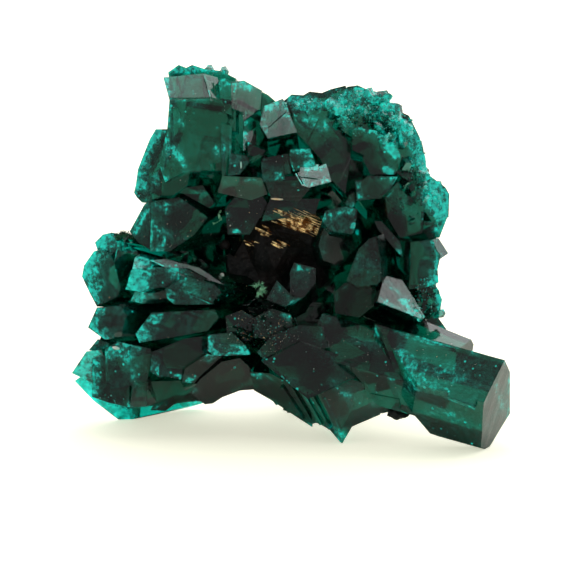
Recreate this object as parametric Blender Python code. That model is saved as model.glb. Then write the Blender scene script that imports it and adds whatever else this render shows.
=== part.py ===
"""A dioptase cluster: glassy green prisms crowded round a dark hollow, on a little host rock.

Every length in the tables is in millimetres. Places are given as they are seen
from the front, looking 12 degrees down: x runs to the right, v runs up the view
and y runs away from the viewer, into the cluster. The function seen turns such a
place into the model's own frame, where +Z is up. The last steps cut the feet
level, move the origin to the bottom centre and turn millimetres into metres.
"""

import math
import random

import bmesh
import bpy
from mathutils import Matrix, Vector

# Driving dimensions
MM = 0.001
VIEW_DROP = math.radians(12.0)
FLOOR_HEIGHT = 0.88
GROUND_SIZE = 60.0
ROOT_DEPTH = 2.2
ROOT_TAPER = 0.82
POCKET_GAP = 0.08
LEAST_EDGE = 0.004

# Dioptase grows as six-sided prisms closed by three faces, each over an edge.
PRISM_SIDES = 6
END_FACES = 3
END_SLOPE = 51.0
SIDE_SPREAD = (0.88, 1.08)

# A crystal of the fine crust: how long it is, and how far it splays when it leans.
DRUSE_LENGTH = 2.2
DRUSE_SPLAY = 1.3

# Colour and roughness
DIOPTASE_GREEN = (0.010, 0.160, 0.120, 1.0)
DIOPTASE_GLOSS = 0.08
ROCK_BROWN = (0.045, 0.030, 0.020, 1.0)
ROCK_ROUGHNESS = 0.9
MALACHITE_GREEN = (0.10, 0.30, 0.14, 1.0)
MALACHITE_ROUGHNESS = 0.8


def seen(x, v, y):
    """The point of the model's frame that shows at x, v in the front view, y deep."""
    return Vector((x, y, (v - y * math.sin(VIEW_DROP)) / math.cos(VIEW_DROP)))


# Each crystal face that shows: its corners (x, v), how deep its middle lies, how
# its depth grows to the right and upwards, and the way its crystal runs back.
# A face may also have breaks, each a place on the break and the way it faces.
BEAM_FACES = [
    ([(14.2, 5.8), (14.6, 5.0), (14.67, 2.2), (13.13, -0.22), (12.67, -0.05), (12.8, 3.0)],
     -5.0, (2.78, -0.8), (-8.6, 2.4, 3.0),
     [((8.8, 1.7, -4.0), (-0.8, -0.6, 0.1)), ((7.1, 6.7, -5.0), (-0.8, -0.3, -0.5))]),
    ([(14.0, 5.75), (14.3, 5.0), (14.3, 2.6), (13.0, 1.0), (12.6, 0.9), (12.7, 3.0)],
     -4.4, (2.78, -0.8), (-11.8, 3.2, 4.2)),
    ([(12.07, 7.13), (12.25, 6.8), (12.0, 5.0), (11.2, 4.0), (10.6, 4.6), (10.9, 6.3)],
     -1.8, (2.4, -0.8), (-8.2, 3.26, 3.0)),
    ([(10.47, 7.8), (9.8, 8.73), (9.2, 9.2), (8.6, 8.4), (9.0, 7.4)],
     0.9, (0.4, 0.2), (-4.0, 0.5, 3.0)),
]

SKIRT_FACES = [
    ([(-1.87, 5.67), (0.67, 7.0), (3.67, 6.0), (4.9, 5.0), (4.0, 4.33), (2.0, 3.53), (1.2, 3.2),
      (0.0, 4.13)],
     -3.3, (0.1, 0.2), (-0.5, 1.0, 5.0)),
    ([(2.0, 3.53), (4.13, 4.5), (5.47, 4.1), (6.27, 3.0), (6.0, 2.13), (4.13, 1.33), (3.45, 0.15),
      (2.67, 1.8)],
     -3.1, (0.2, -0.1), (-0.4, 1.6, 4.6)),
    ([(1.3, 3.4), (2.1, 3.7), (2.75, 1.9), (3.45, 0.15), (2.67, 1.1), (1.8, 1.6), (1.5, 1.5)],
     -2.7, (-0.8, -0.5), (-0.2, 1.4, 4.4)),
    ([(-2.67, 5.0), (-1.4, 4.9), (0.1, 4.2), (1.35, 3.4), (1.5, 1.27), (0.67, 1.8), (-0.33, 2.47),
      (-1.33, 3.13), (-2.4, 3.73)],
     -1.9, (-0.4, -0.8), (0.2, 1.4, 4.2)),
    ([(-2.2, 6.3), (-1.2, 7.4), (0.6, 8.1), (2.1, 8.0), (2.6, 6.6), (0.6, 6.2), (-1.4, 5.4)],
     -2.7, (0.0, 0.2), (-0.2, 0.4, 4.6)),
    ([(4.9, 5.2), (6.9, 5.6), (7.9, 4.4), (8.6, 2.9), (8.3, 2.36), (6.9, 2.4), (6.1, 2.2), (5.0, 3.4)],
     -2.9, (0.1, -0.3), (-0.6, 1.6, 4.0)),
    ([(-5.47, 7.47), (-3.87, 7.6), (-3.0, 6.8), (-2.67, 6.13), (-5.0, 6.0), (-5.5, 6.4)],
     -2.7, (0.1, 0.35), (1.4, 0.6, 4.5)),
    ([(-6.67, 3.6), (-6.0, 4.47), (-4.53, 5.67), (-3.33, 5.9), (-2.6, 5.2), (-2.4, 3.8), (-3.33, 3.73),
      (-4.53, 3.27), (-5.13, 2.87), (-5.67, 2.8)],
     -1.9, (0.1, -0.25), (1.5, 1.6, 4.4)),
    ([(-9.33, 2.4), (-8.33, 2.33), (-7.87, 2.73), (-6.67, 3.13), (-5.67, 2.9), (-5.9, 3.9), (-7.3, 4.2),
      (-8.6, 3.6)],
     0.6, (0.3, -0.3), (1.6, 1.2, 2.6)),
    ([(-9.47, 4.33), (-7.33, 4.4), (-7.0, 3.7), (-7.8, 3.35), (-9.33, 2.65)],
     -0.9, (0.35, -0.6), (2.0, 1.0, 3.0)),
    ([(-9.2, 6.3), (-7.0, 7.2), (-5.4, 7.4), (-5.4, 6.3), (-6.6, 5.2), (-8.7, 4.6), (-9.3, 5.0)],
     -1.9, (0.15, 0.2), (2.5, 0.6, 4.0)),
    ([(-7.0, 5.2), (-5.5, 6.2), (-4.4, 5.9), (-4.9, 5.0), (-6.2, 4.2), (-7.2, 4.3)],
     -2.2, (0.3, -0.4), (2.0, 0.8, 4.0)),
]

LEFT_FACES = [
    ([(-13.2, 5.87), (-12.33, 6.05), (-10.7, 6.7), (-10.7, 2.6), (-12.13, 2.93), (-13.2, 3.3)],
     -1.5, (-0.35, 0.05), (5.0, 0.4, 5.0)),
    ([(-12.33, 6.5), (-11.47, 7.0), (-9.27, 6.53), (-9.2, 5.8), (-9.53, 4.33), (-10.9, 4.0), (-12.3, 4.2)],
     -1.9, (0.06, 0.12), (5.0, 0.4, 5.0)),
    ([(-10.5, 4.2), (-9.47, 4.33), (-9.53, 2.67), (-10.67, 2.6)],
     -2.1, (0.1, -0.05), (2.0, 0.8, 4.0)),
    ([(-14.6, 4.87), (-13.6, 6.33), (-12.6, 6.47), (-12.0, 5.0), (-12.6, 3.9)],
     0.4, (-0.3, -0.5), (4.0, 0.3, 3.4)),
    ([(-14.45, 4.33), (-13.2, 3.0), (-11.5, 1.67), (-10.9, 1.62), (-10.1, 1.87), (-10.0, 3.0), (-12.6, 4.6),
      (-13.8, 4.8)],
     3.6, (0.1, -0.3), (4.2, 0.9, 3.2)),
    ([(-13.47, 6.4), (-12.87, 7.13), (-12.1, 6.9), (-12.0, 6.2)],
     1.2, (-0.2, 0.1), (2.5, 0.2, 2.4)),
    ([(-12.87, 9.27), (-11.33, 9.4), (-10.95, 8.8), (-11.2, 7.33), (-12.3, 7.1), (-13.47, 7.93)],
     -1.3, (-0.55, 0.15), (8.0, 0.4, 4.0)),
    ([(-11.4, 9.5), (-10.67, 9.6), (-10.1, 9.13), (-10.6, 8.3), (-11.1, 7.7), (-11.2, 8.8)],
     -0.9, (0.5, 0.3), (6.5, 0.2, 3.0)),
    ([(-9.2, 8.93), (-5.0, 9.13), (-4.73, 8.6), (-5.47, 7.73), (-7.87, 7.27), (-10.0, 6.93),
      (-10.27, 7.53)],
     -2.4, (0.1, 0.25), (3.2, 0.4, 4.5)),
    ([(-13.87, 11.33), (-13.73, 12.07), (-13.07, 13.0), (-12.67, 13.13), (-12.13, 12.93), (-11.73, 12.33),
      (-11.27, 10.6), (-11.47, 10.0), (-12.87, 9.33), (-13.33, 10.2)],
     -0.4, (-0.45, 0.1), (6.0, -0.3, 4.0)),
    ([(-13.0, 13.6), (-12.47, 14.13), (-11.87, 14.27), (-11.4, 14.1), (-10.9, 13.3), (-11.3, 12.9),
      (-12.27, 12.9), (-12.8, 13.0)],
     0.2, (-0.3, 0.4), (4.0, -0.6, 3.0)),
    ([(-11.4, 13.9), (-10.4, 13.3), (-9.9, 12.6), (-10.5, 11.2), (-11.4, 10.6), (-11.7, 12.3)],
     -0.3, (0.5, 0.2), (4.0, -0.4, 3.0)),
    ([(-10.47, 11.8), (-10.33, 12.6), (-9.93, 12.87), (-8.33, 12.47), (-9.33, 11.93)],
     -1.6, (0.0, 1.3), (4.6, -1.1, 4.0)),
    ([(-10.55, 11.75), (-9.33, 11.97), (-7.0, 11.9), (-5.6, 11.2), (-7.3, 10.6), (-8.67, 10.6),
      (-10.0, 10.33), (-10.93, 10.47)],
     -2.1, (0.15, 0.2), (4.6, -0.6, 4.0)),
    ([(-9.3, 12.4), (-8.3, 12.5), (-6.0, 11.9), (-4.4, 10.8), (-5.0, 10.4), (-7.2, 11.4)],
     -1.6, (0.3, 0.6), (2.6, -0.4, 4.0)),
    ([(-8.33, 10.47), (-7.0, 11.4), (-5.0, 10.8), (-4.53, 10.27), (-5.33, 9.47), (-7.67, 9.47),
      (-8.13, 9.8)],
     -2.6, (0.1, 0.15), (2.6, 0.0, 4.6)),
    ([(-10.3, 10.4), (-8.3, 10.6), (-8.0, 9.6), (-9.6, 9.5), (-10.6, 9.7)],
     -1.6, (0.1, -0.3), (3.0, 0.0, 4.0)),
    ([(-9.67, 16.13), (-9.2, 16.47), (-9.13, 14.13), (-9.33, 13.13), (-10.13, 13.6), (-10.67, 14.33)],
     -0.9, (-0.6, 0.1), (5.0, 0.2, 3.4)),
    ([(-9.2, 16.3), (-7.33, 16.6), (-6.0, 15.67), (-5.47, 15.27), (-6.33, 14.13), (-8.0, 13.0),
      (-9.3, 13.0)],
     -1.3, (0.2, 0.1), (3.0, 0.3, 3.6)),
]

SHOULDER_FACES = [
    ([(-8.0, 21.13), (-8.93, 21.13), (-9.33, 20.47), (-9.87, 19.13), (-10.13, 18.47), (-10.27, 17.47),
      (-10.4, 16.93), (-10.2, 16.6), (-9.87, 16.27), (-9.3, 16.2), (-8.0, 17.0)],
     0.9, (-0.35, 0.0), (1.6, 0.0, 2.4)),
    ([(-9.2, 18.0), (-8.2, 18.9), (-6.6, 18.6), (-6.8, 17.4), (-7.9, 16.6), (-9.3, 16.9)],
     -1.0, (0.1, -0.1), (1.0, -0.4, 4.0)),
    ([(-7.4, 17.2), (-5.8, 17.4), (-5.0, 16.2), (-6.0, 15.3), (-7.6, 15.9)],
     -0.3, (0.2, -0.2), (1.6, 0.0, 3.0)),
]

CROWN_FACES = [
    ([(-7.97, 23.15), (-5.2, 23.2), (-4.5, 23.0), (-4.1, 21.8), (-4.53, 20.47), (-4.53, 18.33),
      (-6.67, 18.4), (-8.33, 17.6), (-8.67, 18.8), (-8.13, 21.13)],
     -2.0, (0.04, 0.03), (0.3, -0.3, 4.6)),
    ([(-8.4, 24.53), (-5.67, 24.8), (-5.1, 23.1), (-7.98, 23.0)],
     -1.2, (0.04, 1.0), (0.3, -0.5, 3.6)),
    ([(-5.75, 24.8), (-4.8, 24.53), (-4.5, 22.9), (-5.25, 23.0)],
     -1.15, (0.6, 0.9), (0.3, -0.5, 3.6)),
    ([(-8.1, 24.9), (-7.4, 25.4), (-6.9, 25.2), (-6.5, 25.4), (-5.6, 25.1), (-4.6, 25.0), (-3.6, 24.5),
      (-3.6, 21.0), (-7.4, 21.0)],
     0.9, (0.0, 0.1), (0.4, -0.4, 2.4)),
    ([(-4.75, 24.33), (-4.33, 24.5), (-3.93, 24.2), (-3.85, 22.0), (-4.5, 22.2)],
     -1.6, (-0.1, 0.3), (0.2, -0.4, 4.0)),
    ([(-3.9, 24.2), (-3.07, 24.33), (-1.87, 23.67), (-2.0, 22.0), (-2.7, 19.9), (-3.1, 19.6), (-3.1, 22.2),
      (-3.9, 22.5)],
     -1.4, (0.2, 0.3), (0.4, -0.4, 4.4)),
    ([(-2.1, 23.7), (-1.47, 23.4), (-1.0, 23.0), (-1.2, 21.4), (-2.2, 21.2)],
     -0.2, (0.3, 0.3), (0.4, -0.4, 3.0)),
    ([(-4.53, 21.5), (-3.87, 21.3), (-3.87, 18.1), (-4.53, 18.0)],
     -2.3, (0.2, 0.1), (0.2, 0.0, 4.0)),
    ([(-4.0, 19.5), (-2.87, 19.33), (-2.67, 18.93), (-3.33, 18.07), (-4.1, 18.0)],
     -2.6, (0.1, 0.25), (0.2, 0.2, 4.6)),
    ([(-2.8, 20.27), (-2.27, 19.93), (-1.6, 19.67), (-1.87, 19.33), (-2.8, 19.33)],
     -2.6, (-0.1, 0.3), (0.3, 0.2, 4.4)),
    ([(-3.1, 21.6), (-2.0, 22.4), (-1.5, 21.0), (-2.0, 20.0), (-2.9, 19.9)],
     -1.6, (0.4, 0.0), (0.4, 0.0, 4.0)),
    ([(-1.87, 21.93), (-1.73, 22.6), (-0.47, 23.1), (-0.2, 22.6), (0.47, 20.87), (-1.47, 20.47),
      (-2.0, 21.4)],
     -2.7, (0.05, 0.3), (0.2, -1.4, 5.4)),
    ([(-1.5, 20.3), (0.3, 20.7), (0.2, 19.6), (-0.7, 19.2), (-1.6, 19.5)],
     -1.9, (0.1, -0.5), (0.2, -0.3, 4.0)),
    ([(-1.87, 19.13), (-0.13, 19.47), (0.1, 18.13), (-1.33, 17.93), (-1.73, 17.93)],
     -3.4, (-0.1, 0.2), (0.3, 0.0, 5.6)),
    ([(0.0, 19.73), (1.33, 19.8), (1.73, 18.67), (0.2, 18.27), (-0.07, 19.13)],
     -3.9, (0.1, 0.2), (0.3, -0.4, 6.0)),
    ([(0.33, 18.13), (1.73, 18.53), (2.4, 18.8), (2.73, 17.6), (1.27, 17.2), (0.8, 17.33)],
     -4.25, (0.1, 0.68), (0.2, -0.2, 6.2)),
    ([(-1.8, 17.9), (0.5, 17.9), (1.3, 17.1), (0.6, 16.3), (-1.2, 16.4)],
     -2.3, (0.0, -0.5), (0.2, 0.6, 4.0)),
    ([(-4.5, 18.0), (-1.9, 17.9), (-1.5, 16.8), (-2.6, 16.4), (-4.8, 16.9)],
     -0.9, (0.0, -0.6), (0.2, 0.9, 3.4)),
]

WALL_FACES = [
    ([(3.2, 23.0), (3.8, 23.9), (4.5, 24.0), (5.4, 23.6), (6.6, 22.6), (7.9, 22.0), (8.6, 20.6),
      (9.0, 19.2), (9.1, 17.9), (8.0, 17.5), (6.0, 19.0), (3.5, 21.0)],
     -1.3, (0.25, 0.25), (-1.0, -1.0, 4.6)),
    ([(-0.5, 22.9), (0.1, 23.4), (0.9, 23.35), (1.3, 23.6), (2.1, 23.5), (2.7, 23.75), (3.7, 24.0),
      (3.9, 22.4), (0.0, 22.2)],
     -0.9, (0.0, 0.6), (0.3, -1.2, 4.0)),
    ([(0.0, 22.6), (1.5, 22.9), (3.67, 22.8), (4.13, 21.13), (4.0, 19.13), (3.67, 16.8), (2.67, 17.8),
      (2.0, 19.13), (1.33, 19.9), (0.47, 20.8)],
     -1.9, (0.15, 0.25), (0.3, -0.5, 4.4)),
    ([(4.13, 21.13), (4.8, 21.27), (5.8, 20.93), (5.93, 19.67), (5.0, 19.33), (4.13, 19.67)],
     -2.7, (0.05, 0.15), (-0.2, -0.5, 5.0)),
    ([(5.9, 20.8), (7.0, 20.33), (7.4, 19.13), (7.0, 18.1), (5.33, 18.07), (4.8, 19.2)],
     -2.5, (0.2, 0.15), (-0.3, -0.4, 4.6)),
    ([(4.67, 17.53), (5.13, 18.0), (7.13, 17.93), (6.67, 17.13), (6.0, 16.47), (4.73, 16.47)],
     -3.7, (0.05, 0.25), (-0.3, 0.2, 5.8)),
    ([(3.8, 19.2), (4.9, 18.9), (4.7, 16.6), (4.1, 16.0), (3.4, 17.2)],
     -1.8, (0.3, 0.1), (-0.2, 0.0, 4.0)),
    ([(7.1, 21.3), (7.9, 21.4), (8.0, 20.4), (7.3, 20.1)],
     -1.9, (0.2, 0.2), (-0.6, -0.4, 4.0)),
    ([(2.33, 15.67), (3.67, 16.0), (4.47, 15.8), (4.33, 14.6), (4.13, 14.13), (2.67, 14.33), (2.13, 15.0)],
     -3.3, (0.0, 0.2), (-0.6, -1.6, 5.2)),
    ([(2.2, 14.5), (4.1, 14.3), (4.3, 13.2), (3.4, 12.0), (2.2, 12.4), (1.9, 13.4)],
     -2.2, (0.1, -0.4), (-0.4, -0.4, 4.0)),
    ([(4.33, 16.93), (4.6, 16.47), (4.13, 15.87), (3.67, 16.13), (3.93, 16.73)],
     -3.5, (0.1, 0.45), (-0.2, 0.0, 5.0)),
    ([(5.73, 14.0), (5.87, 13.13), (6.07, 11.13), (5.8, 10.8), (4.47, 10.67), (3.73, 11.07), (4.13, 12.13),
      (4.53, 13.13), (5.2, 13.8)],
     -4.0, (-0.15, 0.12), (0.4, -0.8, 5.6)),
    ([(5.8, 14.0), (6.2, 14.13), (6.45, 13.1), (6.45, 11.5), (6.07, 10.9)],
     -3.6, (1.6, 0.1), (0.2, -0.8, 5.0)),
    ([(5.6, 15.0), (6.07, 15.0), (7.33, 13.6), (7.47, 12.6), (6.8, 13.3), (5.8, 14.5)],
     -2.9, (0.45, 0.5), (-0.3, -0.5, 4.6)),
    ([(6.27, 11.4), (7.47, 11.07), (8.93, 8.67), (8.67, 8.53), (5.8, 9.67)],
     -4.2, (0.12, 0.7), (-1.0, -0.6, 5.6)),
    ([(8.0, 13.6), (9.47, 13.8), (9.73, 13.13), (10.0, 12.73), (9.8, 11.8), (9.87, 10.93), (9.0, 10.6),
      (7.87, 10.47), (8.0, 12.13)],
     -2.6, (0.05, 0.1), (-1.6, 0.2, 5.0)),
    ([(9.47, 13.8), (9.87, 13.87), (10.53, 12.87), (10.0, 12.5), (9.73, 13.0)],
     -2.0, (1.6, 0.5), (-1.8, 0.1, 4.4)),
    ([(7.2, 13.9), (8.1, 13.8), (8.1, 11.0), (7.3, 12.0)],
     -2.2, (-0.5, 0.1), (-0.6, 0.2, 4.0)),
    ([(9.33, 18.0), (10.33, 17.27), (10.6, 16.8), (10.55, 15.27), (9.47, 14.9), (8.67, 16.13), (8.4, 17.3)],
     -0.9, (0.4, 0.2), (-3.0, -0.3, 4.0)),
    ([(9.4, 15.3), (10.5, 15.3), (10.0, 14.0), (9.5, 13.9)],
     0.6, (0.2, -0.3), (-2.0, 0.2, 3.0)),
    ([(8.93, 15.0), (9.8, 14.95), (9.97, 13.93), (9.2, 13.8), (8.8, 14.4)],
     -1.5, (0.2, -0.3), (-1.6, 0.2, 4.0)),
    ([(7.1, 17.6), (8.8, 17.6), (8.9, 15.6), (8.8, 14.2), (7.3, 13.9), (6.5, 15.2), (6.3, 16.6)],
     -1.8, (0.15, 0.1), (-1.4, -0.3, 4.4)),
    ([(8.5, 10.8), (9.4, 10.9), (9.8, 10.6), (10.13, 9.8), (10.0, 9.0), (9.5, 8.6), (8.5, 9.0)],
     -1.2, (0.3, 0.1), (-2.0, 0.2, 3.4)),
]

HOLLOW_FACES = [
    ([(-0.87, 11.07), (0.2, 10.0), (0.93, 9.93), (-0.33, 9.33), (-1.6, 9.8)],
     -1.7, (0.0, 0.35), (0.3, -1.6, 4.6)),
    ([(0.27, 12.27), (1.73, 11.9), (1.7, 10.9), (0.8, 9.8), (0.0, 10.2), (0.0, 11.6)],
     -0.9, (0.1, 0.3), (0.3, -1.8, 4.4)),
    ([(-3.3, 17.1), (-1.87, 16.8), (-1.47, 16.13), (-1.87, 15.47), (-2.67, 14.13), (-4.13, 14.13),
      (-4.33, 15.8)],
     -0.2, (0.1, 0.2), (0.2, 0.9, 3.4)),
    ([(-1.33, 16.5), (2.0, 16.5), (1.67, 15.47), (-1.87, 15.0)],
     -0.8, (0.0, 0.2), (0.2, 0.9, 3.6)),
    ([(-4.3, 8.7), (-3.2, 9.1), (-2.2, 8.5), (-2.0, 7.4), (-3.2, 6.9), (-4.2, 7.6)],
     -1.6, (0.05, 0.15), (0.4, -0.6, 4.0)),
    ([(-2.4, 8.6), (-1.2, 9.2), (0.1, 8.8), (0.2, 7.6), (-1.3, 7.0), (-2.4, 7.4)],
     -2.1, (0.1, 0.1), (0.2, -0.6, 4.2)),
    ([(3.6, 10.9), (5.6, 10.8), (6.0, 9.7), (4.6, 8.6), (3.0, 8.9), (2.9, 10.2)],
     -2.6, (0.1, -0.2), (0.2, -0.6, 4.0)),
]

ALL_FACES = [
    BEAM_FACES, SKIRT_FACES, LEFT_FACES, SHOULDER_FACES, CROWN_FACES, WALL_FACES, HOLLOW_FACES,
]

# The crowded roots that stand behind the faces, as a ring round the hollow.
ROOT_RING = [
    ([(-12.6, 4.4), (-12.9, 6.2), (-12.4, 8.6), (-12.6, 11.6), (-11.4, 13.2), (-6.2, 13.0), (-4.6, 11.0),
      (-3.6, 7.4), (-6.0, 4.6), (-9.6, 3.4)],
     1.6, (0.0, 0.0)),
    ([(-9.6, 13.2), (-9.4, 18.4), (-7.6, 21.6), (-7.2, 24.0), (-3.4, 23.4), (-1.6, 22.4), (-1.6, 17.4),
      (-4.6, 16.6), (-6.0, 12.8)],
     1.8, (0.0, 0.0)),
    ([(-2.0, 17.0), (-1.4, 22.4), (1.4, 23.0), (5.6, 23.4), (7.8, 21.4), (8.4, 18.4), (8.2, 16.0),
      (4.4, 16.0)],
     1.6, (0.0, 0.0)),
    ([(4.2, 16.6), (8.6, 17.4), (9.8, 16.6), (9.2, 13.6), (9.2, 10.4), (8.4, 8.4), (4.2, 9.2), (3.2, 10.4)],
     1.8, (0.0, 0.0)),
    ([(-4.8, 9.0), (0.0, 9.6), (4.4, 9.6), (8.6, 8.0), (8.0, 5.4), (4.6, 4.2), (1.6, 3.4), (-1.4, 4.4),
      (-4.8, 5.0)],
     1.0, (0.0, 0.0)),
]


class Prism:
    """One whole crystal: the middle of its free end, a point down its axis, and its width."""

    def __init__(self, tip, root, width, roll=0.0, slope=END_SLOPE, lean=(0.0, 0.0)):
        self.tip = seen(*tip)
        self.root = seen(*root)
        self.width = width
        self.roll = roll
        self.slope = slope
        self.lean = lean


# How far the cluster reaches from its middle, seen from the front, each 22.5
# degrees from the right and round over the top.
MIDDLE = (-0.5, 13.0)
REACH = [9.6, 9.8, 10.6, 9.8, 8.6, 10.6, 9.6, 9.0, 10.8, 11.6, 12.4, 8.4, 7.6, 8.6, 9.4, 10.4]

# The rings of crystals on the back: how deep their tips lie, their share of the
# reach, how many there are, their width, and how far in and down they are rooted.
BACK_RINGS = [
    (5.4, 0.96, 21, 3.8, 0.55, 3.4),
    (7.4, 0.80, 16, 4.4, 0.45, 5.0),
    (9.0, 0.56, 10, 4.2, 0.46, 5.6),
]

# The crystal that the cluster leans back on, and those over the left foot.
FEET_PRISMS = [
    Prism((1.9, 2.4, 9.2), (1.6, 8.6, 3.4), 3.8, roll=20, slope=38),
    Prism((-12.7, 5.2, 5.4), (-5.0, 7.6, 2.8), 4.6, roll=10),
    Prism((-9.8, 4.9, 7.2), (-4.4, 7.2, 3.2), 4.2, roll=25),
    Prism((-12.2, 8.4, 5.8), (-5.0, 8.8, 2.8), 3.8, roll=40),
]

# The fine crust over the top right and beside the hollow: the middle of each
# patch, its reach across and up, how many crystals, their width, and their lean.
DRUSE_PATCHES = [
    ((4.8, 22.7, -0.9), (1.2, 0.6), 13, 1.00, (0.15, 0.65)),
    ((2.6, 22.8, -0.8), (1.8, 0.35), 9, 0.80, (0.0, 0.8)),
    ((7.1, 21.1, -0.9), (0.7, 0.7), 9, 0.95, (0.5, 0.4)),
    ((8.5, 19.3, -0.9), (0.4, 1.3), 9, 0.85, (0.8, 0.25)),
    ((6.2, 21.7, -1.7), (1.5, 0.7), 9, 0.80, (0.2, 0.4)),
    ((8.0, 18.6, -1.9), (0.8, 1.1), 9, 0.80, (0.4, 0.1)),
    ((9.4, 16.6, -0.8), (0.8, 0.9), 7, 0.80, (0.8, 0.1)),
    ((7.9, 15.6, -1.7), (0.9, 0.9), 7, 0.80, (0.3, -0.1)),
    ((9.3, 9.7, -1.2), (0.6, 0.9), 8, 0.70, (0.9, 0.1)),
    ((-2.2, 8.2, -1.9), (1.6, 0.8), 8, 0.60, (0.0, 0.5)),
]


def cut(bm, point, normal):
    """Takes off what lies beyond a plane and closes the cut with flat faces."""
    bmesh.ops.bisect_plane(
        bm, geom=bm.verts[:] + bm.edges[:] + bm.faces[:], dist=LEAST_EDGE,
        plane_co=point, plane_no=normal, clear_outer=True)
    rim = [edge for edge in bm.edges if edge.is_boundary]
    if rim:
        bmesh.ops.holes_fill(bm, edges=rim, sides=0)


def face_block(outline, depth, tilt, run, breaks=(), widen=1.0):
    """A crystal made from one of its faces, pushed back along the way it runs."""
    middle_x = sum(x for x, v in outline) / len(outline)
    middle_v = sum(v for x, v in outline) / len(outline)
    bm = bmesh.new()
    corners = []
    for x, v in outline:
        y = depth + tilt[0] * (x - middle_x) + tilt[1] * (v - middle_v)
        corners.append(bm.verts.new(seen(x, v, y)))
    front = bm.faces.new(corners)
    made = bmesh.ops.extrude_face_region(bm, geom=[front])
    back = [item for item in made["geom"] if isinstance(item, bmesh.types.BMVert)]
    shift = seen(*run)
    centre = sum((vertex.co for vertex in back), Vector()) / len(back)
    for vertex in back:
        vertex.co = centre + (vertex.co - centre) * widen + shift
    bmesh.ops.recalc_face_normals(bm, faces=bm.faces[:])
    for place, way in breaks:
        cut(bm, seen(*place), seen(*way))
    return bm


def prism_block(spec, chance):
    """A crystal cut from a block by its six prism planes and its three end planes."""
    axis = spec.tip - spec.root
    radius = spec.width / 2
    bm = bmesh.new()
    bmesh.ops.create_cube(bm, size=1.0)
    bmesh.ops.scale(bm, vec=Vector((2 * spec.width, 2 * spec.width, axis.length)), verts=bm.verts)
    bmesh.ops.translate(bm, vec=Vector((0, 0, -axis.length / 2)), verts=bm.verts)
    for side in range(PRISM_SIDES):
        angle = math.radians(spec.roll + side * 360 / PRISM_SIDES)
        out = Vector((math.cos(angle), math.sin(angle), 0))
        cut(bm, out * radius * chance.uniform(*SIDE_SPREAD), out)
    slope = math.radians(spec.slope)
    apex = Vector((spec.lean[0] * radius, spec.lean[1] * radius, 0))
    for end in range(END_FACES):
        angle = math.radians(spec.roll + 180 / PRISM_SIDES + end * 360 / END_FACES)
        level = Vector((math.cos(angle), math.sin(angle), 0))
        cut(bm, apex, level * math.sin(slope) + Vector((0, 0, math.cos(slope))))
    turn = Vector((0, 0, 1)).rotation_difference(axis.normalized()).to_matrix().to_4x4()
    bmesh.ops.transform(bm, matrix=Matrix.Translation(spec.tip) @ turn, verts=bm.verts)
    return bm


def ring_blocks(ring, chance):
    """The crystals of one ring on the back, pointing outwards and away from the viewer."""
    depth, share, count, width, root_share, root_rise = ring
    blocks = []
    for i in range(count):
        turn = (i + chance.uniform(-0.25, 0.25)) / count
        place = turn * len(REACH) % len(REACH)
        near = int(place)
        after = (near + 1) % len(REACH)
        reach = REACH[near] + (REACH[after] - REACH[near]) * (place - near)
        way = (math.cos(2 * math.pi * turn), math.sin(2 * math.pi * turn))
        far = reach * share * chance.uniform(0.86, 1.0)
        tip = (MIDDLE[0] + way[0] * far, MIDDLE[1] + way[1] * far, depth + chance.uniform(-0.9, 0.9))
        inner = far * root_share
        root = (MIDDLE[0] + way[0] * inner, MIDDLE[1] + way[1] * inner, depth - root_rise)
        size = width * chance.uniform(0.75, 1.2)
        lean = (chance.uniform(-0.25, 0.25), chance.uniform(-0.25, 0.25))
        blocks.append(prism_block(Prism(tip, root, size, chance.uniform(0, 60), END_SLOPE, lean), chance))
    return blocks


def druse_blocks(patch, chance):
    """The small crystals of one patch of crust, each turned and leaned a little differently."""
    (x, v, y), (reach_x, reach_v), count, width, (lean_x, lean_v) = patch
    blocks = []
    for _ in range(count):
        across = chance.uniform(-1, 1)
        up = chance.uniform(-1, 1)
        tip = (x + across * reach_x, v + up * reach_v, y + chance.uniform(-0.5, 0.3))
        way_x = lean_x + chance.uniform(-0.5, 0.5)
        way_v = lean_v + chance.uniform(-0.5, 0.5)
        root = (tip[0] - DRUSE_SPLAY * way_x, tip[1] - DRUSE_SPLAY * way_v, tip[2] + DRUSE_LENGTH)
        size = width * chance.uniform(0.7, 1.3)
        blocks.append(prism_block(Prism(tip, root, size, roll=chance.uniform(0, 60)), chance))
    return blocks


def lump(centre, reach, seed, gap, rough, rings):
    """A rough rounded lump; with a gap it is the pocket that the lump sits in."""
    chance = random.Random(seed)
    bm = bmesh.new()
    bmesh.ops.create_icosphere(bm, subdivisions=rings, radius=1.0)
    for vertex in bm.verts:
        size = 1 + chance.uniform(-rough, rough)
        spot = Matrix.Diagonal(reach) @ vertex.co * size
        vertex.co = seen(*centre) + spot + vertex.co.normalized() * gap
    return bm


# The host rock and the malachite tufts: the middle (x, v, y), the reach along x, y
# and z, the seed, the share that the surface varies by, and the rings of faces.
HOST_ROCK = {
    "matrix": ((-1.0, 12.6, 5.0), (5.0, 3.4, 5.2), 3, 0.10, 3),
    "matrix_crumb": ((7.2, 2.25, -2.4), (0.75, 0.6, 0.42), 5, 0.20, 2),
}
TUFTS = {
    "malachite_tuft_left": ((-10.9, 14.05, 0.1), (0.8, 0.6, 0.42), 11, 0.25, 2),
    "malachite_tuft_wisp": ((-4.7, 15.3, -0.9), (0.35, 0.3, 0.6), 12, 0.25, 2),
    "malachite_tuft_centre": ((-1.9, 10.5, -1.2), (0.6, 0.45, 0.6), 13, 0.25, 2),
}


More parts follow.
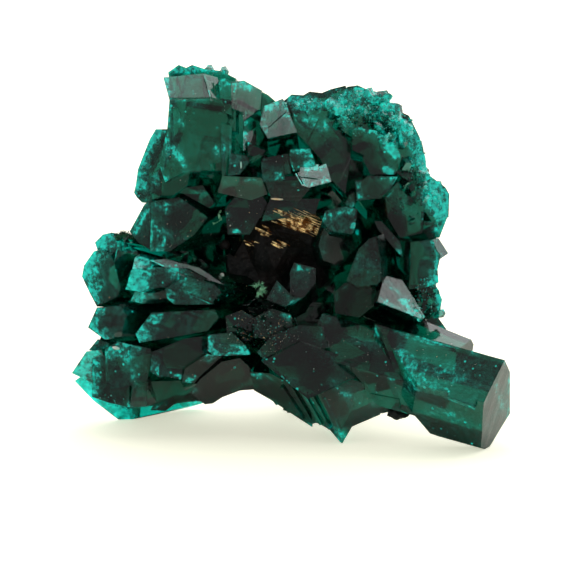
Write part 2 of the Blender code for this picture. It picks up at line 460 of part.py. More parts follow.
def material(name, colour, roughness):
    finish = bpy.data.materials.new(name)
    finish.use_nodes = True
    shader = finish.node_tree.nodes["Principled BSDF"]
    shader.inputs["Base Color"].default_value = colour
    shader.inputs["Roughness"].default_value = roughness
    shader.inputs["Metallic"].default_value = 0.0
    return finish


def add_object(name, bm, collection):
    bmesh.ops.recalc_face_normals(bm, faces=bm.faces[:])
    mesh = bpy.data.meshes.new(name)
    bm.to_mesh(mesh)
    bm.free()
    obj = bpy.data.objects.new(name, mesh)
    collection.objects.link(obj)
    return obj


def joined_solid(name, first, others, pockets):
    """The first block united with the others, less the pockets, as one evaluated mesh."""
    union = first.modifiers.new("Grown together", "BOOLEAN")
    union.operation = "UNION"
    union.operand_type = "COLLECTION"
    union.collection = others
    union.solver = "EXACT"
    union.use_self = True
    less = first.modifiers.new("Pockets", "BOOLEAN")
    less.operation = "DIFFERENCE"
    less.operand_type = "COLLECTION"
    less.collection = pockets
    less.solver = "EXACT"
    bpy.context.view_layer.update()
    graph = bpy.context.evaluated_depsgraph_get()
    mesh = bpy.data.meshes.new_from_object(first.evaluated_get(graph), depsgraph=graph)
    mesh.name = name
    return mesh


def keep_largest(bm):
    """Drops the crumbs that a pocket leaves loose, so that one body is left."""
    visited = set()
    bodies = []
    for start in bm.faces:
        if start in visited:
            continue
        body = []
        stack = [start]
        visited.add(start)
        while stack:
            face = stack.pop()
            body.append(face)
            for edge in face.edges:
                fresh = [other for other in edge.link_faces if other not in visited]
                visited.update(fresh)
                stack += fresh
        bodies.append(body)
    bodies.sort(key=len)
    loose = [face for body in bodies[:-1] for face in body]
    bmesh.ops.delete(bm, geom=loose, context="FACES")


def clear_scene():
    for obj in list(bpy.data.objects):
        bpy.data.objects.remove(obj, do_unlink=True)


def helper_collection(name):
    collection = bpy.data.collections.new(name)
    bpy.context.scene.collection.children.link(collection)
    collection.hide_render = True
    return collection


def main():
    clear_scene()
    chance = random.Random(7)
    scene = bpy.context.scene.collection
    blocks = helper_collection("blocks")
    pockets = helper_collection("pockets")

    bodies = []
    for group in ALL_FACES:
        bodies += [face_block(*face) for face in group]
    for outline, depth, tilt in ROOT_RING:
        bodies.append(face_block(outline, depth, tilt, (0, 0, ROOT_DEPTH), widen=ROOT_TAPER))
    for ring in BACK_RINGS:
        bodies += ring_blocks(ring, chance)
    bodies += [prism_block(spec, chance) for spec in FEET_PRISMS]
    for patch in DRUSE_PATCHES:
        bodies += druse_blocks(patch, chance)
    made = [add_object(f"block_{i}", bm, blocks) for i, bm in enumerate(bodies)]
    for obj in made:
        obj.hide_render = True
        obj.display_type = "WIRE"
    first = made[-1]
    blocks.objects.unlink(first)
    scene.objects.link(first)

    rock = material("host_rock", ROCK_BROWN, ROCK_ROUGHNESS)
    malachite = material("malachite", MALACHITE_GREEN, MALACHITE_ROUGHNESS)
    parts = []
    for table, finish in ((HOST_ROCK, rock), (TUFTS, malachite)):
        for name, (centre, reach, seed, rough, rings) in table.items():
            solid = add_object(name, lump(centre, reach, seed, 0.0, rough, rings), scene)
            solid.data.materials.append(finish)
            parts.append(solid)
            hole = lump(centre, reach, seed, POCKET_GAP, rough, rings)
            pocket = add_object(name + "_pocket", hole, pockets)
            pocket.hide_render = True
            pocket.display_type = "WIRE"

    ground = bmesh.new()
    bmesh.ops.create_cube(ground, size=GROUND_SIZE)
    bmesh.ops.translate(ground, vec=Vector((0, 0, FLOOR_HEIGHT - GROUND_SIZE / 2)), verts=ground.verts)
    add_object("ground_cutter", ground, pockets)

    mesh = joined_solid("dioptase_crystals", first, blocks, pockets)
    bm = bmesh.new()
    bm.from_mesh(mesh)
    keep_largest(bm)
    crystals = add_object("dioptase_crystals", bm, scene)
    crystals.data.materials.clear()
    crystals.data.materials.append(material("dioptase", DIOPTASE_GREEN, DIOPTASE_GLOSS))
    parts.append(crystals)
    for obj in made:
        bpy.data.objects.remove(obj, do_unlink=True)
    for obj in list(pockets.objects):
        bpy.data.objects.remove(obj, do_unlink=True)

    points = [vertex.co for part in parts for vertex in part.data.vertices]
    low, high = (Vector(pick(point[axis] for point in points) for axis in range(3)) for pick in (min, max))
    middle = Vector(((low.x + high.x) / 2, (low.y + high.y) / 2, low.z))
    for part in parts:
        part.data.transform(Matrix.Scale(MM, 4) @ Matrix.Translation(-middle))
        part.data.update()


main()
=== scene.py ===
# %% [markdown]
# Dioptase is a copper silicate that grows as short six-sided prisms of a deep
# emerald to bluish green. This script dresses a measured model of one cluster,
# 29 mm wide: it gives the crystals their glass, their growth marks and their fine
# crust, and adds the host rock, the mossy malachite and the dust of the real one.
# The model's solids fix every place and size. What is added is found by looking
# along a line of the picture and is sunk into the face that the line meets.

# %% Load the measured model
import math
import random
import time

import bmesh
import bpy
from mathutils import Matrix, Vector, noise
from mathutils.bvhtree import BVHTree
from mathutils.kdtree import KDTree


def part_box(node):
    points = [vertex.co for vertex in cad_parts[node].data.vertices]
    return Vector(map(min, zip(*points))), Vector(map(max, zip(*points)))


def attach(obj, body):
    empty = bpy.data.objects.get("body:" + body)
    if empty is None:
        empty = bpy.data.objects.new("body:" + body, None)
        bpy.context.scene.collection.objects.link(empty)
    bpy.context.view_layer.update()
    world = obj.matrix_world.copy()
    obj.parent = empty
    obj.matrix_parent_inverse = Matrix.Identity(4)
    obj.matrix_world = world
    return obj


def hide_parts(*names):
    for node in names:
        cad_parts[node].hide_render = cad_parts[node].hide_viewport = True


started = time.time()
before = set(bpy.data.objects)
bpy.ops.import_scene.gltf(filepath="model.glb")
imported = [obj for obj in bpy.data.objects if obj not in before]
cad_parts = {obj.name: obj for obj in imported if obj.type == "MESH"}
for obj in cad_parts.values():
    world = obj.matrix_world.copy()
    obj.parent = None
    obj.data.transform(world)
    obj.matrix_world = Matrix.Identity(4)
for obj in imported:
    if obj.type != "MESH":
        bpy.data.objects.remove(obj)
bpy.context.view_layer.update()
MM = 0.001
print("nodes:", sorted(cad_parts))

# %% [markdown]
# The cluster is shown from the front and a little above, with a long lens, so that
# far and near crystals keep the same scale: its distance is worked out so that 15
# pixels of the picture cover each millimetre.

# %% Set up the camera
VIEW_DROP = math.radians(12.0)
LENS = 600.0
SENSOR = 36.0
PICTURE = 575
PIXELS_PER_MM = 15.0
VIEW_DISTANCE = LENS * (PICTURE / PIXELS_PER_MM) / SENSOR * MM
VIEW_CENTRE = Vector((-0.20, -1.32, 9.99)) * MM

camera_data = bpy.data.cameras.new("camera")
camera_data.lens = LENS
camera_data.sensor_width = SENSOR
camera_data.clip_start = 0.001
camera = bpy.data.objects.new("camera", camera_data)
bpy.context.scene.collection.objects.link(camera)
camera.rotation_euler = (math.pi / 2 - VIEW_DROP, 0, 0)
camera.location = VIEW_CENTRE + VIEW_DISTANCE * Vector((0, -math.cos(VIEW_DROP), math.sin(VIEW_DROP)))
bpy.context.scene.camera = camera
bpy.context.view_layer.update()
print("camera at", [round(c / MM, 1) for c in camera.location], "mm")

# %% [markdown]
# A small thing is placed where it shows: a ray leaves the camera through a pixel of
# the picture, 575 pixels wide and high, and the solid that it meets carries the
# thing. So a place read from the picture still sits on the surface from any side.

# %% Find the surface behind a pixel
PIXEL = MM / PIXELS_PER_MM
PICTURE_RIGHT = Vector((1, 0, 0))
PICTURE_DOWN = -Vector((0, math.sin(VIEW_DROP), math.cos(VIEW_DROP)))


def line_through(px, py):
    across = (px - PICTURE / 2) / PICTURE * SENSOR
    down = (py - PICTURE / 2) / PICTURE * SENSOR
    return (camera.matrix_world.to_3x3() @ Vector((across, -down, -LENS))).normalized()


def surface_at(tree, px, py):
    """The place and the normal of the first face behind a pixel, or None twice."""
    return tree.ray_cast(camera.location, line_through(px, py))[:2]


def pixel_of(place):
    from_middle = place - VIEW_CENTRE
    return (PICTURE / 2 + from_middle.dot(PICTURE_RIGHT) / PIXEL,
            PICTURE / 2 + from_middle.dot(PICTURE_DOWN) / PIXEL)


def along_picture(dx, dy):
    return (PICTURE_RIGHT * dx + PICTURE_DOWN * dy).normalized()


def pixel_in_ellipse(middle, reach, chance):
    """A pixel by chance, spread evenly over an ellipse of the picture."""
    turn = chance.uniform(0, 2 * math.pi)
    far = math.sqrt(chance.random())
    return middle[0] + reach[0] * far * math.cos(turn), middle[1] + reach[1] * far * math.sin(turn)


print("one pixel covers", round(PIXEL / MM, 4), "mm")

# %% [markdown]
# The crystals are one solid, because they grew together. The model keeps it as
# loose triangles, so the copy is merged before anything else is done to it. A tree
# of its faces then answers every later question about what lies behind a pixel.

# %% Copy a solid of the model
MERGE = 0.0001 * MM


def copy_of_node(name):
    bm = bmesh.new()
    bm.from_mesh(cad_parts[name].data)
    bmesh.ops.remove_doubles(bm, verts=bm.verts, dist=MERGE)
    return bm


def open_edges(bm):
    return sum(not edge.is_manifold for edge in bm.edges)


crystals = copy_of_node("dioptase_crystals")
cluster_tree = BVHTree.FromBMesh(crystals)
print("crystals:", len(crystals.verts), "corners, open edges:", open_edges(crystals))

# %% [markdown]
# Each dioptase crystal is a six-sided prism with three end faces, which lie over
# every second edge. A small one starts as a six-sided cone with equal ends, and
# three planes cut its free end to shape.

# %% Make one small crystal
END_SLOPE = math.radians(51.0)
PRISM_SIDES = 6
END_FACES = 3
CUT_SNAP = 1e-7


def small_crystal(place, way, width, length, roll):
    """A prism whose free end is at a place and points a way; the rest is sunk behind it."""
    bm = bmesh.new()
    bmesh.ops.create_cone(
        bm, cap_ends=True, segments=PRISM_SIDES, radius1=width / 2, radius2=width / 2, depth=length)
    bmesh.ops.translate(bm, vec=Vector((0, 0, -length / 2)), verts=bm.verts)
    for side in range(END_FACES):
        angle = (2 * side + 0.5) * math.pi / END_FACES
        level = Vector((math.cos(angle), math.sin(angle), 0))
        facing = level * math.sin(END_SLOPE) + Vector((0, 0, math.cos(END_SLOPE)))
        bmesh.ops.bisect_plane(
            bm, geom=bm.verts[:] + bm.edges[:] + bm.faces[:], dist=CUT_SNAP,
            plane_co=Vector((0, 0, 0)), plane_no=facing, clear_outer=True)
        rim = [edge for edge in bm.edges if edge.is_boundary]
        bmesh.ops.holes_fill(bm, edges=rim, sides=0)
    turn = Vector((0, 0, 1)).rotation_difference(way).to_matrix().to_4x4()
    spin = Matrix.Rotation(roll, 4, "Z")
    bmesh.ops.transform(bm, matrix=Matrix.Translation(place) @ turn @ spin, verts=bm.verts)
    return bm


sample = small_crystal(Vector((0, 0, 0)), Vector((0, 0, 1)), MM, MM, 0)
print("faces of one small crystal:", len(sample.faces))
sample.free()

# %% [markdown]
# The real cluster carries a fine crust, called druse, over its top right, on the
# knob at the right edge and on the ledges round the hollow. Each patch is an ellipse
# of the picture with a number of crystals, their width, and how far they splay.

# %% Grow the fine crust
CRUST_PATCHES = [
    # middle, reach in pixels; how many; width in mm; splay
    ((362, 108), (32, 11), 52, 0.75, 0.40),
    ((352, 124), (20, 12), 24, 0.60, 0.45),
    ((392, 132), (19, 17), 50, 0.70, 0.40),
    ((312, 107), (28, 5), 34, 0.45, 0.45),
    ((414, 165), (8, 24), 36, 0.60, 0.40),
    ((428, 196), (14, 18), 40, 0.50, 0.40),
    ((425, 300), (12, 20), 30, 0.50, 0.40),
    ((398, 200), (12, 16), 18, 0.40, 0.50),
    ((260, 328), (28, 13), 30, 0.34, 0.60),
    ((200, 172), (22, 4), 14, 0.30, 0.60),
    ((300, 410), (24, 18), 22, 0.40, 0.40),
    ((225, 72), (20, 4), 10, 0.40, 0.40),
]
CRUST_SUNK = 1.5
CRUST_PROUD = 0.12
LARGEST_LEAN = 0.6


def crust_crystals(chance):
    made = []
    for middle, reach, count, width, splay in CRUST_PATCHES:
        for _ in range(count):
            place, normal = surface_at(cluster_tree, *pixel_in_ellipse(middle, reach, chance))
            lean = Vector([chance.gauss(0, splay) for _ in range(3)])
            size = width * MM * chance.uniform(0.5, 1.4)
            roll = chance.uniform(0, 2 * math.pi)
            if place is None:
                continue
            way = (normal + lean).normalized()
            if way.dot(normal) < LARGEST_LEAN:
                way = normal
            tip = place + normal * size * CRUST_PROUD
            made.append(small_crystal(tip, way, size, size * CRUST_SUNK, roll))
    return made


crust = crust_crystals(random.Random(11))
print("crust crystals:", len(crust))

# %% [markdown]
# Some faces carry low plates, where a last layer stopped before it reached the
# edges, and some crystals are parted by narrow dark slots. A plate or a slot is a
# thin box along a line of the picture: plates are united and slots are taken away.

# %% Make a box along a line of the picture
FLATTEST_SIDE = 0.25


def box_along(tree, start, end, width, depth, sunk, towards_viewer=False):
    """A box from pixel to pixel, a width in pixels across, lying on the face behind its middle."""
    mid = ((start[0] + end[0]) / 2, (start[1] + end[1]) / 2)
    place, normal = surface_at(tree, *mid)
    run = along_picture(end[0] - start[0], end[1] - start[1])
    sight = line_through(*mid)
    if towards_viewer:
        normal = -sight
    # the line of the picture is laid down on the face
    run = (run - sight * (run.dot(normal) / sight.dot(normal))).normalized()
    side = normal.cross(run)
    pixels = math.hypot(end[0] - start[0], end[1] - start[1])
    flat_run = run - sight * run.dot(sight)
    flat_side = side - sight * side.dot(sight)
    long = pixels * PIXEL / flat_run.length
    wide = width * PIXEL / max(flat_side.length, FLATTEST_SIDE)
    bm = bmesh.new()
    bmesh.ops.create_cube(bm, size=1.0)
    bmesh.ops.scale(bm, vec=(long, wide, depth * MM), verts=bm.verts)
    turn = Matrix((run, side, normal)).transposed().to_4x4()
    centre = place + normal * (depth / 2 - sunk) * MM
    bmesh.ops.transform(bm, matrix=Matrix.Translation(centre) @ turn, verts=bm.verts)
    return bm

# %% [markdown]
# Slots are cut along the line of sight, so that each shows as a clean dark line.
# Plates lie on their face and rise from it by a few hundredths of a millimetre. The
# last five are the flutes on the pointed skirt, which stand out most.

# %% Place the slots and plates
SLOTS = [
    # from pixel, to pixel, width in pixels, depth in mm
    ((319, 119), (303, 150), 1.6, 0.5),
    ((213, 83), (216, 96), 1.8, 0.4),
    ((283, 178), (297, 177), 5, 0.5),
    ((294, 168), (303, 184), 1.2, 0.3),
    ((172, 113), (173, 135), 1.5, 0.4),
    ((384, 336), (398, 372), 5, 0.9),
    ((345, 345), (352, 372), 1.6, 0.4),
    ((268, 128), (286, 112), 1.2, 0.3),
    ((186, 292), (214, 304), 1.6, 0.4),
]
PLATES = [
    # from pixel, to pixel, width in pixels, rise in mm
    ((186, 120), (186, 172), 30, 0.05),
    ((218, 168), (218, 186), 18, 0.06),
    ((262, 172), (284, 170), 20, 0.06),
    ((300, 170), (318, 172), 14, 0.08),
    ((330, 345), (372, 352), 26, 0.06),
    ((410, 352), (455, 364), 22, 0.05),
    ((452, 388), (478, 398), 20, 0.05),
    ((355, 395), (400, 404), 10, 0.05),
    ((362, 180), (364, 200), 14, 0.06),
    ((370, 250), (374, 275), 10, 0.05),
    ((180, 318), (208, 326), 12, 0.05),
    ((118, 362), (120, 388), 18, 0.05),
    ((160, 368), (188, 374), 14, 0.05),
    ((318, 190), (332, 188), 8, 0.05),
    ((282, 386), (303, 418), 3.0, 0.16),
    ((291, 384), (313, 421), 2.5, 0.20),
    ((301, 388), (322, 424), 3.0, 0.14),
    ((312, 392), (331, 428), 2.5, 0.20),
    ((324, 398), (338, 430), 3.0, 0.15),
]
SLOT_PROUD = 1.5
PLATE_SUNK = 0.4

slots = [
    box_along(cluster_tree, start, end, width, depth + SLOT_PROUD, depth, towards_viewer=True)
    for start, end, width, depth in SLOTS]
plates = [
    box_along(cluster_tree, start, end, width, rise + PLATE_SUNK, PLATE_SUNK)
    for start, end, width, rise in PLATES]
print("slots:", len(slots), "plates:", len(plates))

# %% [markdown]
# Every small crystal is united with the cluster by an exact Boolean, because glass
# that only overlaps would show the sunk ends as if air lay between them.

# %% Combine solids by a Boolean
def scratch_object(bm, name):
    mesh = bpy.data.meshes.new(name)
    bm.to_mesh(mesh)
    bm.free()
    obj = bpy.data.objects.new(name, mesh)
    bpy.context.scene.collection.objects.link(obj)
    return obj


def combined(first, others, operation):
    base = scratch_object(first, "base")
    group = bpy.data.collections.new("to combine")
    bpy.context.scene.collection.children.link(group)
    helpers = [scratch_object(bm, "helper") for bm in others]
    for helper in helpers:
        bpy.context.scene.collection.objects.unlink(helper)
        group.objects.link(helper)
    change = base.modifiers.new("change", "BOOLEAN")
    change.operation = operation
    change.operand_type = "COLLECTION"
    change.collection = group
    change.solver = "EXACT"
    change.use_self = True
    bpy.context.view_layer.update()
    graph = bpy.context.evaluated_depsgraph_get()
    result = bmesh.new()
    result.from_mesh(base.evaluated_get(graph).to_mesh())
    for obj in helpers + [base]:
        bpy.data.objects.remove(obj, do_unlink=True)
    bpy.data.collections.remove(group)
    return result

# %% [markdown]
# The slots go first, because a plate or a crust crystal may lie across one. After
# both, faces that lie in one plane are joined again, so that the striations of the
# next step run over whole faces and not over leftover triangles.

# %% Unite the crust with the cluster
FLAT = math.radians(0.3)
crystals = combined(crystals, slots, "DIFFERENCE")
print("open edges after the slots:", open_edges(crystals))
crystals = combined(crystals, plates + crust, "UNION")
print("open edges after the union:", open_edges(crystals))
bmesh.ops.remove_doubles(crystals, verts=crystals.verts, dist=MERGE)
bmesh.ops.dissolve_limit(crystals, angle_limit=FLAT, verts=crystals.verts, edges=crystals.edges)
print("flat faces:", len(crystals.faces), "open edges:", open_edges(crystals))
print("seconds so far:", round(time.time() - started, 1))

# %% [markdown]
# The faces of a prism carry striations along its length, left by layers that stopped
# growing at different heights. The way of the nearest named crystal, read from the
# picture, is laid down on each face. Wide faces are cut into strips along it, and
# the lines between the strips are moved up or down by a few micrometres.

# %% Read the way of the grain
GRAINS = [
    # a place in the picture, and the way in which the crystal there runs
    ((195, 130), (0, 1)),
    ((150, 190), (0.1, 1)),
    ((235, 90), (0.2, 1)),
    ((265, 130), (-0.25, 1)),
    ((280, 175), (1, -0.08)),
    ((320, 135), (-0.45, 1)),
    ((370, 180), (-0.08, 1)),
    ((370, 260), (-0.1, 1)),
    ((430, 200), (0.2, 1)),
    ((425, 270), (0.15, 1)),
    ((112, 270), (0.15, 1)),
    ((180, 300), (1, 0.4)),
    ((170, 345), (1, 0.3)),
    ((130, 385), (0.15, 1)),
    ((205, 380), (1, 0.1)),
    ((340, 350), (1, 0.2)),
    ((450, 375), (1, 0.22)),
    ((500, 400), (0.15, 1)),
    ((300, 405), (0.5, 1)),
    ((395, 300), (0.5, 1)),
    ((345, 235), (0.3, 1)),
    ((250, 230), (1, 0.3)),
]
STEEPEST_GRAIN = 0.3


def grain_of(face):
    x, y = pixel_of(face.calc_center_median())
    anchor, way = min(GRAINS, key=lambda grain: math.hypot(grain[0][0] - x, grain[0][1] - y))
    run = along_picture(*way)
    run -= face.normal * run.dot(face.normal)
    if run.length < STEEPEST_GRAIN:
        run = face.normal.orthogonal()
    return run.normalized()


across_of_face = crystals.faces.layers.float_vector.new("across")
for face in crystals.faces:
    face[across_of_face] = face.normal.cross(grain_of(face))
print("crystals with a grain of their own:", len(GRAINS))

# %% [markdown]
# A face is cut again and again by planes that stand on it along its grain. Only the
# corners on each new line are moved, so that the strips tilt against one another and
# mirror the lamps in bands.

# %% Cut striations into the faces
STRIATED_AREA = 5.0 * MM * MM
STRIP_WIDTH = 0.5 * MM
STRIP_MARGIN = 0.05 * MM
LINE_LIFT = 0.005 * MM


def striate(bm, face, chance):
    normal = face.normal.copy()
    across = normal.cross(grain_of(face)).normalized()
    spans = [vertex.co.dot(across) for vertex in face.verts]
    low, high = min(spans), max(spans)
    pieces = [face]
    place = low + STRIP_WIDTH * chance.uniform(0.2, 0.9)
    while place < high - STRIP_MARGIN:
        geometry = set(pieces)
        for part in pieces:
            geometry.update(part.edges)
            geometry.update(part.verts)
        cut = bmesh.ops.bisect_plane(
            bm, geom=list(geometry), dist=CUT_SNAP, plane_co=across * place, plane_no=across)
        line = {item for item in cut["geom_cut"] if isinstance(item, bmesh.types.BMVert)}
        pieces = [item for item in cut["geom"] if isinstance(item, bmesh.types.BMFace)]
        lift = normal * chance.gauss(0, 1) * LINE_LIFT
        for vertex in line:
            vertex.co += lift
        place += STRIP_WIDTH * chance.uniform(0.35, 2.2)


chance = random.Random(5)
wide = [face for face in crystals.faces if face.calc_area() > STRIATED_AREA]
print("faces with striations:", len(wide))
for face in wide:
    striate(crystals, face, chance)
print("seconds so far:", round(time.time() - started, 1))

# %% [markdown]
# The colour of dioptase depends on how far light travels in it: thin edges glow
# bluish green and thick bodies are nearly black. The mesh is made finer, so that
# each corner can store how brightly the crystal glows there. That glow is painted
# light: it is laid into the colour of the glass.

# %% Make the mesh finer
def refine(bm, longest, rounds=7):
    bmesh.ops.triangulate(bm, faces=bm.faces[:])
    for _ in range(rounds):
        long_edges = [edge for edge in bm.edges if edge.calc_length() > longest]
        if not long_edges:
            break
        bmesh.ops.subdivide_edges(bm, edges=long_edges, cuts=1)
        bmesh.ops.triangulate(bm, faces=bm.faces[:])


CRYSTAL_EDGE = 0.75 * MM
refine(crystals, CRYSTAL_EDGE)
print("triangles:", len(crystals.faces), "seconds so far:", round(time.time() - started, 1))

# %% [markdown]
# Inside the real crystals hang veils: healed cracks that catch the light as bright
# streaks of turquoise. Each is a line of the picture with a reach and a strength.
# A bright one is a painted highlight in the colour of the glass. Dark ones are
# painted shade: windows, through which the eye looks into the black inside, slots
# and the shaded hollow.

# %% Place the veils
PAINTED_VEILS_OF_LIGHT_AND_SHADE = [
    # from pixel, to pixel, reach in pixels, strength
    ((174, 150), (180, 157), 4, 0.6), ((180, 158), (186, 170), 3, 0.5), ((180, 121), (182, 125), 3, 0.5),
    ((217, 148), (219, 154), 5, 0.35), ((168, 72), (190, 74), 5, 0.5), ((215, 72), (250, 88), 4, 0.45),
    ((222, 92), (240, 84), 6, 0.25), ((152, 138), (141, 184), 8, 0.32), ((143, 185), (146, 196), 5, 0.35),
    ((108, 242), (132, 250), 8, 0.6), ((92, 262), (98, 290), 7, 0.3), ((134, 274), (144, 286), 5, 0.5),
    ((176, 276), (196, 296), 8, 0.5), ((150, 262), (172, 268), 5, 0.3), ((160, 232), (185, 238), 5, 0.25),
    ((386, 170), (391, 173), 3, 2.2), ((392, 149), (396, 155), 3, 1.8),
    ((353, 226), (357, 232), 2.5, 1.8), ((433, 240), (448, 256), 4, 0.5),
    ((430, 285), (442, 300), 6, 0.45), ((404, 206), (412, 214), 8, 0.35),
    ((300, 104), (340, 100), 5, 0.5), ((310, 118), (325, 125), 7, 0.4), ((340, 110), (352, 130), 8, 0.5),
    ((365, 92), (392, 106), 7, 0.4), ((396, 118), (412, 140), 7, 0.45), ((418, 150), (428, 178), 6, 0.55),
    ((428, 190), (440, 214), 7, 0.5), ((380, 128), (384, 146), 5, 0.4), ((98, 400), (128, 416), 6, 0.8),
    ((78, 384), (92, 392), 5, 0.6), ((90, 352), (106, 346), 4, 0.6), ((104, 330), (130, 338), 5, 0.3),
    ((146, 342), (176, 352), 5, 0.25), ((128, 360), (140, 392), 6, 0.3),
    ((230, 322), (272, 334), 9, 0.35), ((255, 315), (290, 322), 6, 0.3),
    ((222, 345), (246, 350), 5, 0.35), ((205, 345), (214, 352), 4, 0.5), ((236, 348), (262, 356), 5, 0.3),
    ((322, 318), (350, 322), 7, 0.35), ((352, 338), (376, 346), 8, 0.45),
    ((396, 330), (430, 340), 8, 0.22), ((330, 380), (348, 396), 7, 0.3),
    ((410, 380), (440, 392), 10, 0.25), ((446, 370), (478, 384), 9, 0.25),
    ((400, 352), (412, 366), 6, 0.22), ((430, 408), (470, 424), 8, 0.3),
    ((496, 385), (504, 412), 6, 0.25), ((312, 400), (336, 418), 6, 0.3),
    ((270, 372), (296, 380), 5, 0.25), ((330, 424), (342, 434), 4, 0.5), ((386, 282), (402, 296), 4, 0.5),
    ((402, 300), (414, 312), 4, 0.5), ((345, 252), (352, 262), 5, 0.4),
    ((335, 108), (385, 104), 12, 0.25), ((400, 130), (424, 170), 11, 0.25),
    ((432, 190), (438, 215), 10, 0.2), ((225, 225), (300, 262), 34, -0.8),
    ((355, 150), (385, 235), 16, -0.6), ((250, 195), (330, 200), 10, -0.5),
    ((240, 300), (300, 312), 14, -0.5), ((350, 250), (360, 300), 16, -0.5),
    ((170, 350), (240, 372), 12, -0.4), ((345, 325), (372, 372), 20, -0.22),
    ((280, 350), (330, 410), 18, -0.3), ((150, 385), (230, 392), 10, -0.3),
    ((160, 205), (230, 235), 16, -0.3), ((250, 150), (290, 158), 8, -0.6),
    ((392, 230), (404, 262), 9, -0.6), ((141, 142), (139, 232), 4, 0.55), ((174, 72), (192, 72), 3, 0.5),
    ((262, 98), (272, 108), 4, 0.4), ((292, 101), (328, 99), 3, 0.6), ((334, 97), (372, 91), 3, 0.45),
    ((376, 92), (408, 124), 4, 0.6), ((411, 130), (424, 165), 4, 0.7), ((428, 172), (441, 200), 4, 0.45),
    ((443, 205), (442, 225), 4, 0.3), ((80, 386), (96, 402), 4, 0.6), ((88, 250), (84, 290), 3, 0.35),
    ((436, 285), (438, 305), 3, 0.5), ((384, 334), (398, 374), 7, -0.6),
    ((205, 355), (160, 350), 9, -0.35), ((239, 108), (240, 154), 5.5, -1.6),
    ((213, 107), (238, 109), 4, -1.0), ((345, 300), (372, 306), 9, -0.5),
    ((258, 150), (282, 156), 8, -0.4), ((250, 190), (330, 196), 8, -0.5),
    ((300, 350), (325, 372), 8, -0.3), ((170, 185), (235, 196), 9, -0.6),
    ((374, 206), (392, 236), 9, -0.5), ((262, 345), (268, 372), 7, -0.3),
    ((420, 350), (462, 352), 6, -0.25), ((210, 375), (246, 385), 8, -0.25),
    ((238, 320), (305, 322), 22, -0.5), ((92, 258), (104, 284), 9, 0.05),
    ((216, 236), (260, 205), 12, -0.4), ((175, 252), (215, 262), 9, -0.25),
    ((110, 318), (140, 322), 9, -0.2), ((240, 95), (262, 104), 9, -0.3),
    ((330, 200), (350, 215), 10, -0.4), ((372, 240), (396, 262), 14, -0.4),
    ((318, 290), (345, 300), 12, -0.4), ((388, 124), (398, 140), 13, 0.40),
    ((350, 104), (380, 112), 10, 0.25), ((420, 190), (432, 205), 9, 0.25),
    ((302, 107), (322, 106), 7, 0.25), ((350, 212), (356, 224), 3, 0.5),
    ((402, 302), (416, 314), 6, 0.35), ((78, 384), (104, 410), 6, -0.35),
    ((436, 205), (444, 240), 11, -0.35), ((330, 352), (480, 388), 26, 0.07),
    ((382, 120), (392, 134), 6, -0.3), ((352, 118), (360, 124), 6, -0.25),
]

# %% [markdown]
# A veil is laid on the crystals by looking along the lines of its two ends. Its
# share fades with the square of the distance, counted in reaches, like a soft brush.

# %% Lay the veils on the crystals
def point_on_line(place, start, end):
    run = end - start
    share = max(0.0, min(1.0, (place - start).dot(run) / max(run.length_squared, 1e-12)))
    return start + run * share


painted_veil_lines = []
detailed_tree = BVHTree.FromBMesh(crystals)
for start, end, reach, strength in PAINTED_VEILS_OF_LIGHT_AND_SHADE:
    first = surface_at(detailed_tree, *start)[0]
    last = surface_at(detailed_tree, *end)[0]
    if first is not None and last is not None:
        painted_veil_lines.append((first, last, reach * PIXEL, strength))


def corners_near_veils(bm, rings, widest=math.inf):
    """For each corner within some reaches of a veil, the sum of the veils' shares there."""
    finder = KDTree(len(bm.verts))
    for number, vertex in enumerate(bm.verts):
        finder.insert(vertex.co, number)
    finder.balance()
    shares = {}
    for first, last, reach, strength in painted_veil_lines:
        if reach > widest:
            continue
        steps = max(1, math.ceil((last - first).length / reach))
        found = set()
        for step in range(steps + 1):
            spot = first.lerp(last, step / steps)
            near = finder.find_range(spot, reach * rings)
            found.update((number, place.freeze()) for place, number, far in near)
        for number, place in found:
            far = (place - point_on_line(place, first, last)).length / reach
            shares[number] = shares.get(number, 0.0) + strength * math.exp(-far * far)
    return shares


print("veils:", len(painted_veil_lines), "of", len(PAINTED_VEILS_OF_LIGHT_AND_SHADE))

# %% [markdown]
# A veil one pixel wide would be lost between corners that lie 0.7 mm apart. So the
# mesh is cut finer, but only round the narrow veils, which keeps it light.

# %% Refine the mesh near the veils
VEIL_EDGE = 0.22 * MM
VEIL_RINGS = 1.7
NARROW_VEIL = 8.5 * PIXEL


def refine_near_veils(bm, longest, rounds):
    for _ in range(rounds):
        near = corners_near_veils(bm, VEIL_RINGS, NARROW_VEIL)
        bm.verts.index_update()
        long_edges = [
            edge for edge in bm.edges
            if edge.calc_length() > longest and any(vertex.index in near for vertex in edge.verts)]
        if not long_edges:
            break
        bmesh.ops.subdivide_edges(bm, edges=long_edges, cuts=1)
        bmesh.ops.triangulate(bm, faces=bm.faces[:])


refine_near_veils(crystals, VEIL_EDGE, 3)
print("triangles:", len(crystals.faces))
print("seconds so far:", round(time.time() - started, 1))

# %% [markdown]
# How brightly a place glows is found from inside the glass. Ten lines start 0.8 mm
# below a corner: the sooner they leave the crystal, the more light comes in there.
# A corner on a thin edge gets nearly one, and one on a thick body nearly nothing.

# %% Measure the glow of a corner
GLOW_DIRECTIONS = [Vector(way).normalized() for way in (
    (0, 1, 0.2), (0.8, 0.6, 0.3), (-0.8, 0.6, 0.3), (0, 0.5, 1), (0.5, 0, 1), (-0.5, 0, 1), (0, -0.6, 0.9),
    (1, -0.2, 0.2), (-1, -0.2, 0.2), (0, 0.3, -1))]
GLOW_REACH = 0.8 * MM
GLOW_DEPTH = 0.8 * MM


def glow_at(tree, vertex):
    total = 0.0
    inside = vertex.co - vertex.normal * GLOW_DEPTH
    for way in GLOW_DIRECTIONS:
        place, normal, _, distance = tree.ray_cast(inside, way)
        if place is None or normal.dot(way) < 0:
            total += 1
        else:
            total += math.exp(-distance / GLOW_REACH)
    return total / len(GLOW_DIRECTIONS)


print("lines that measure the glow:", len(GLOW_DIRECTIONS))
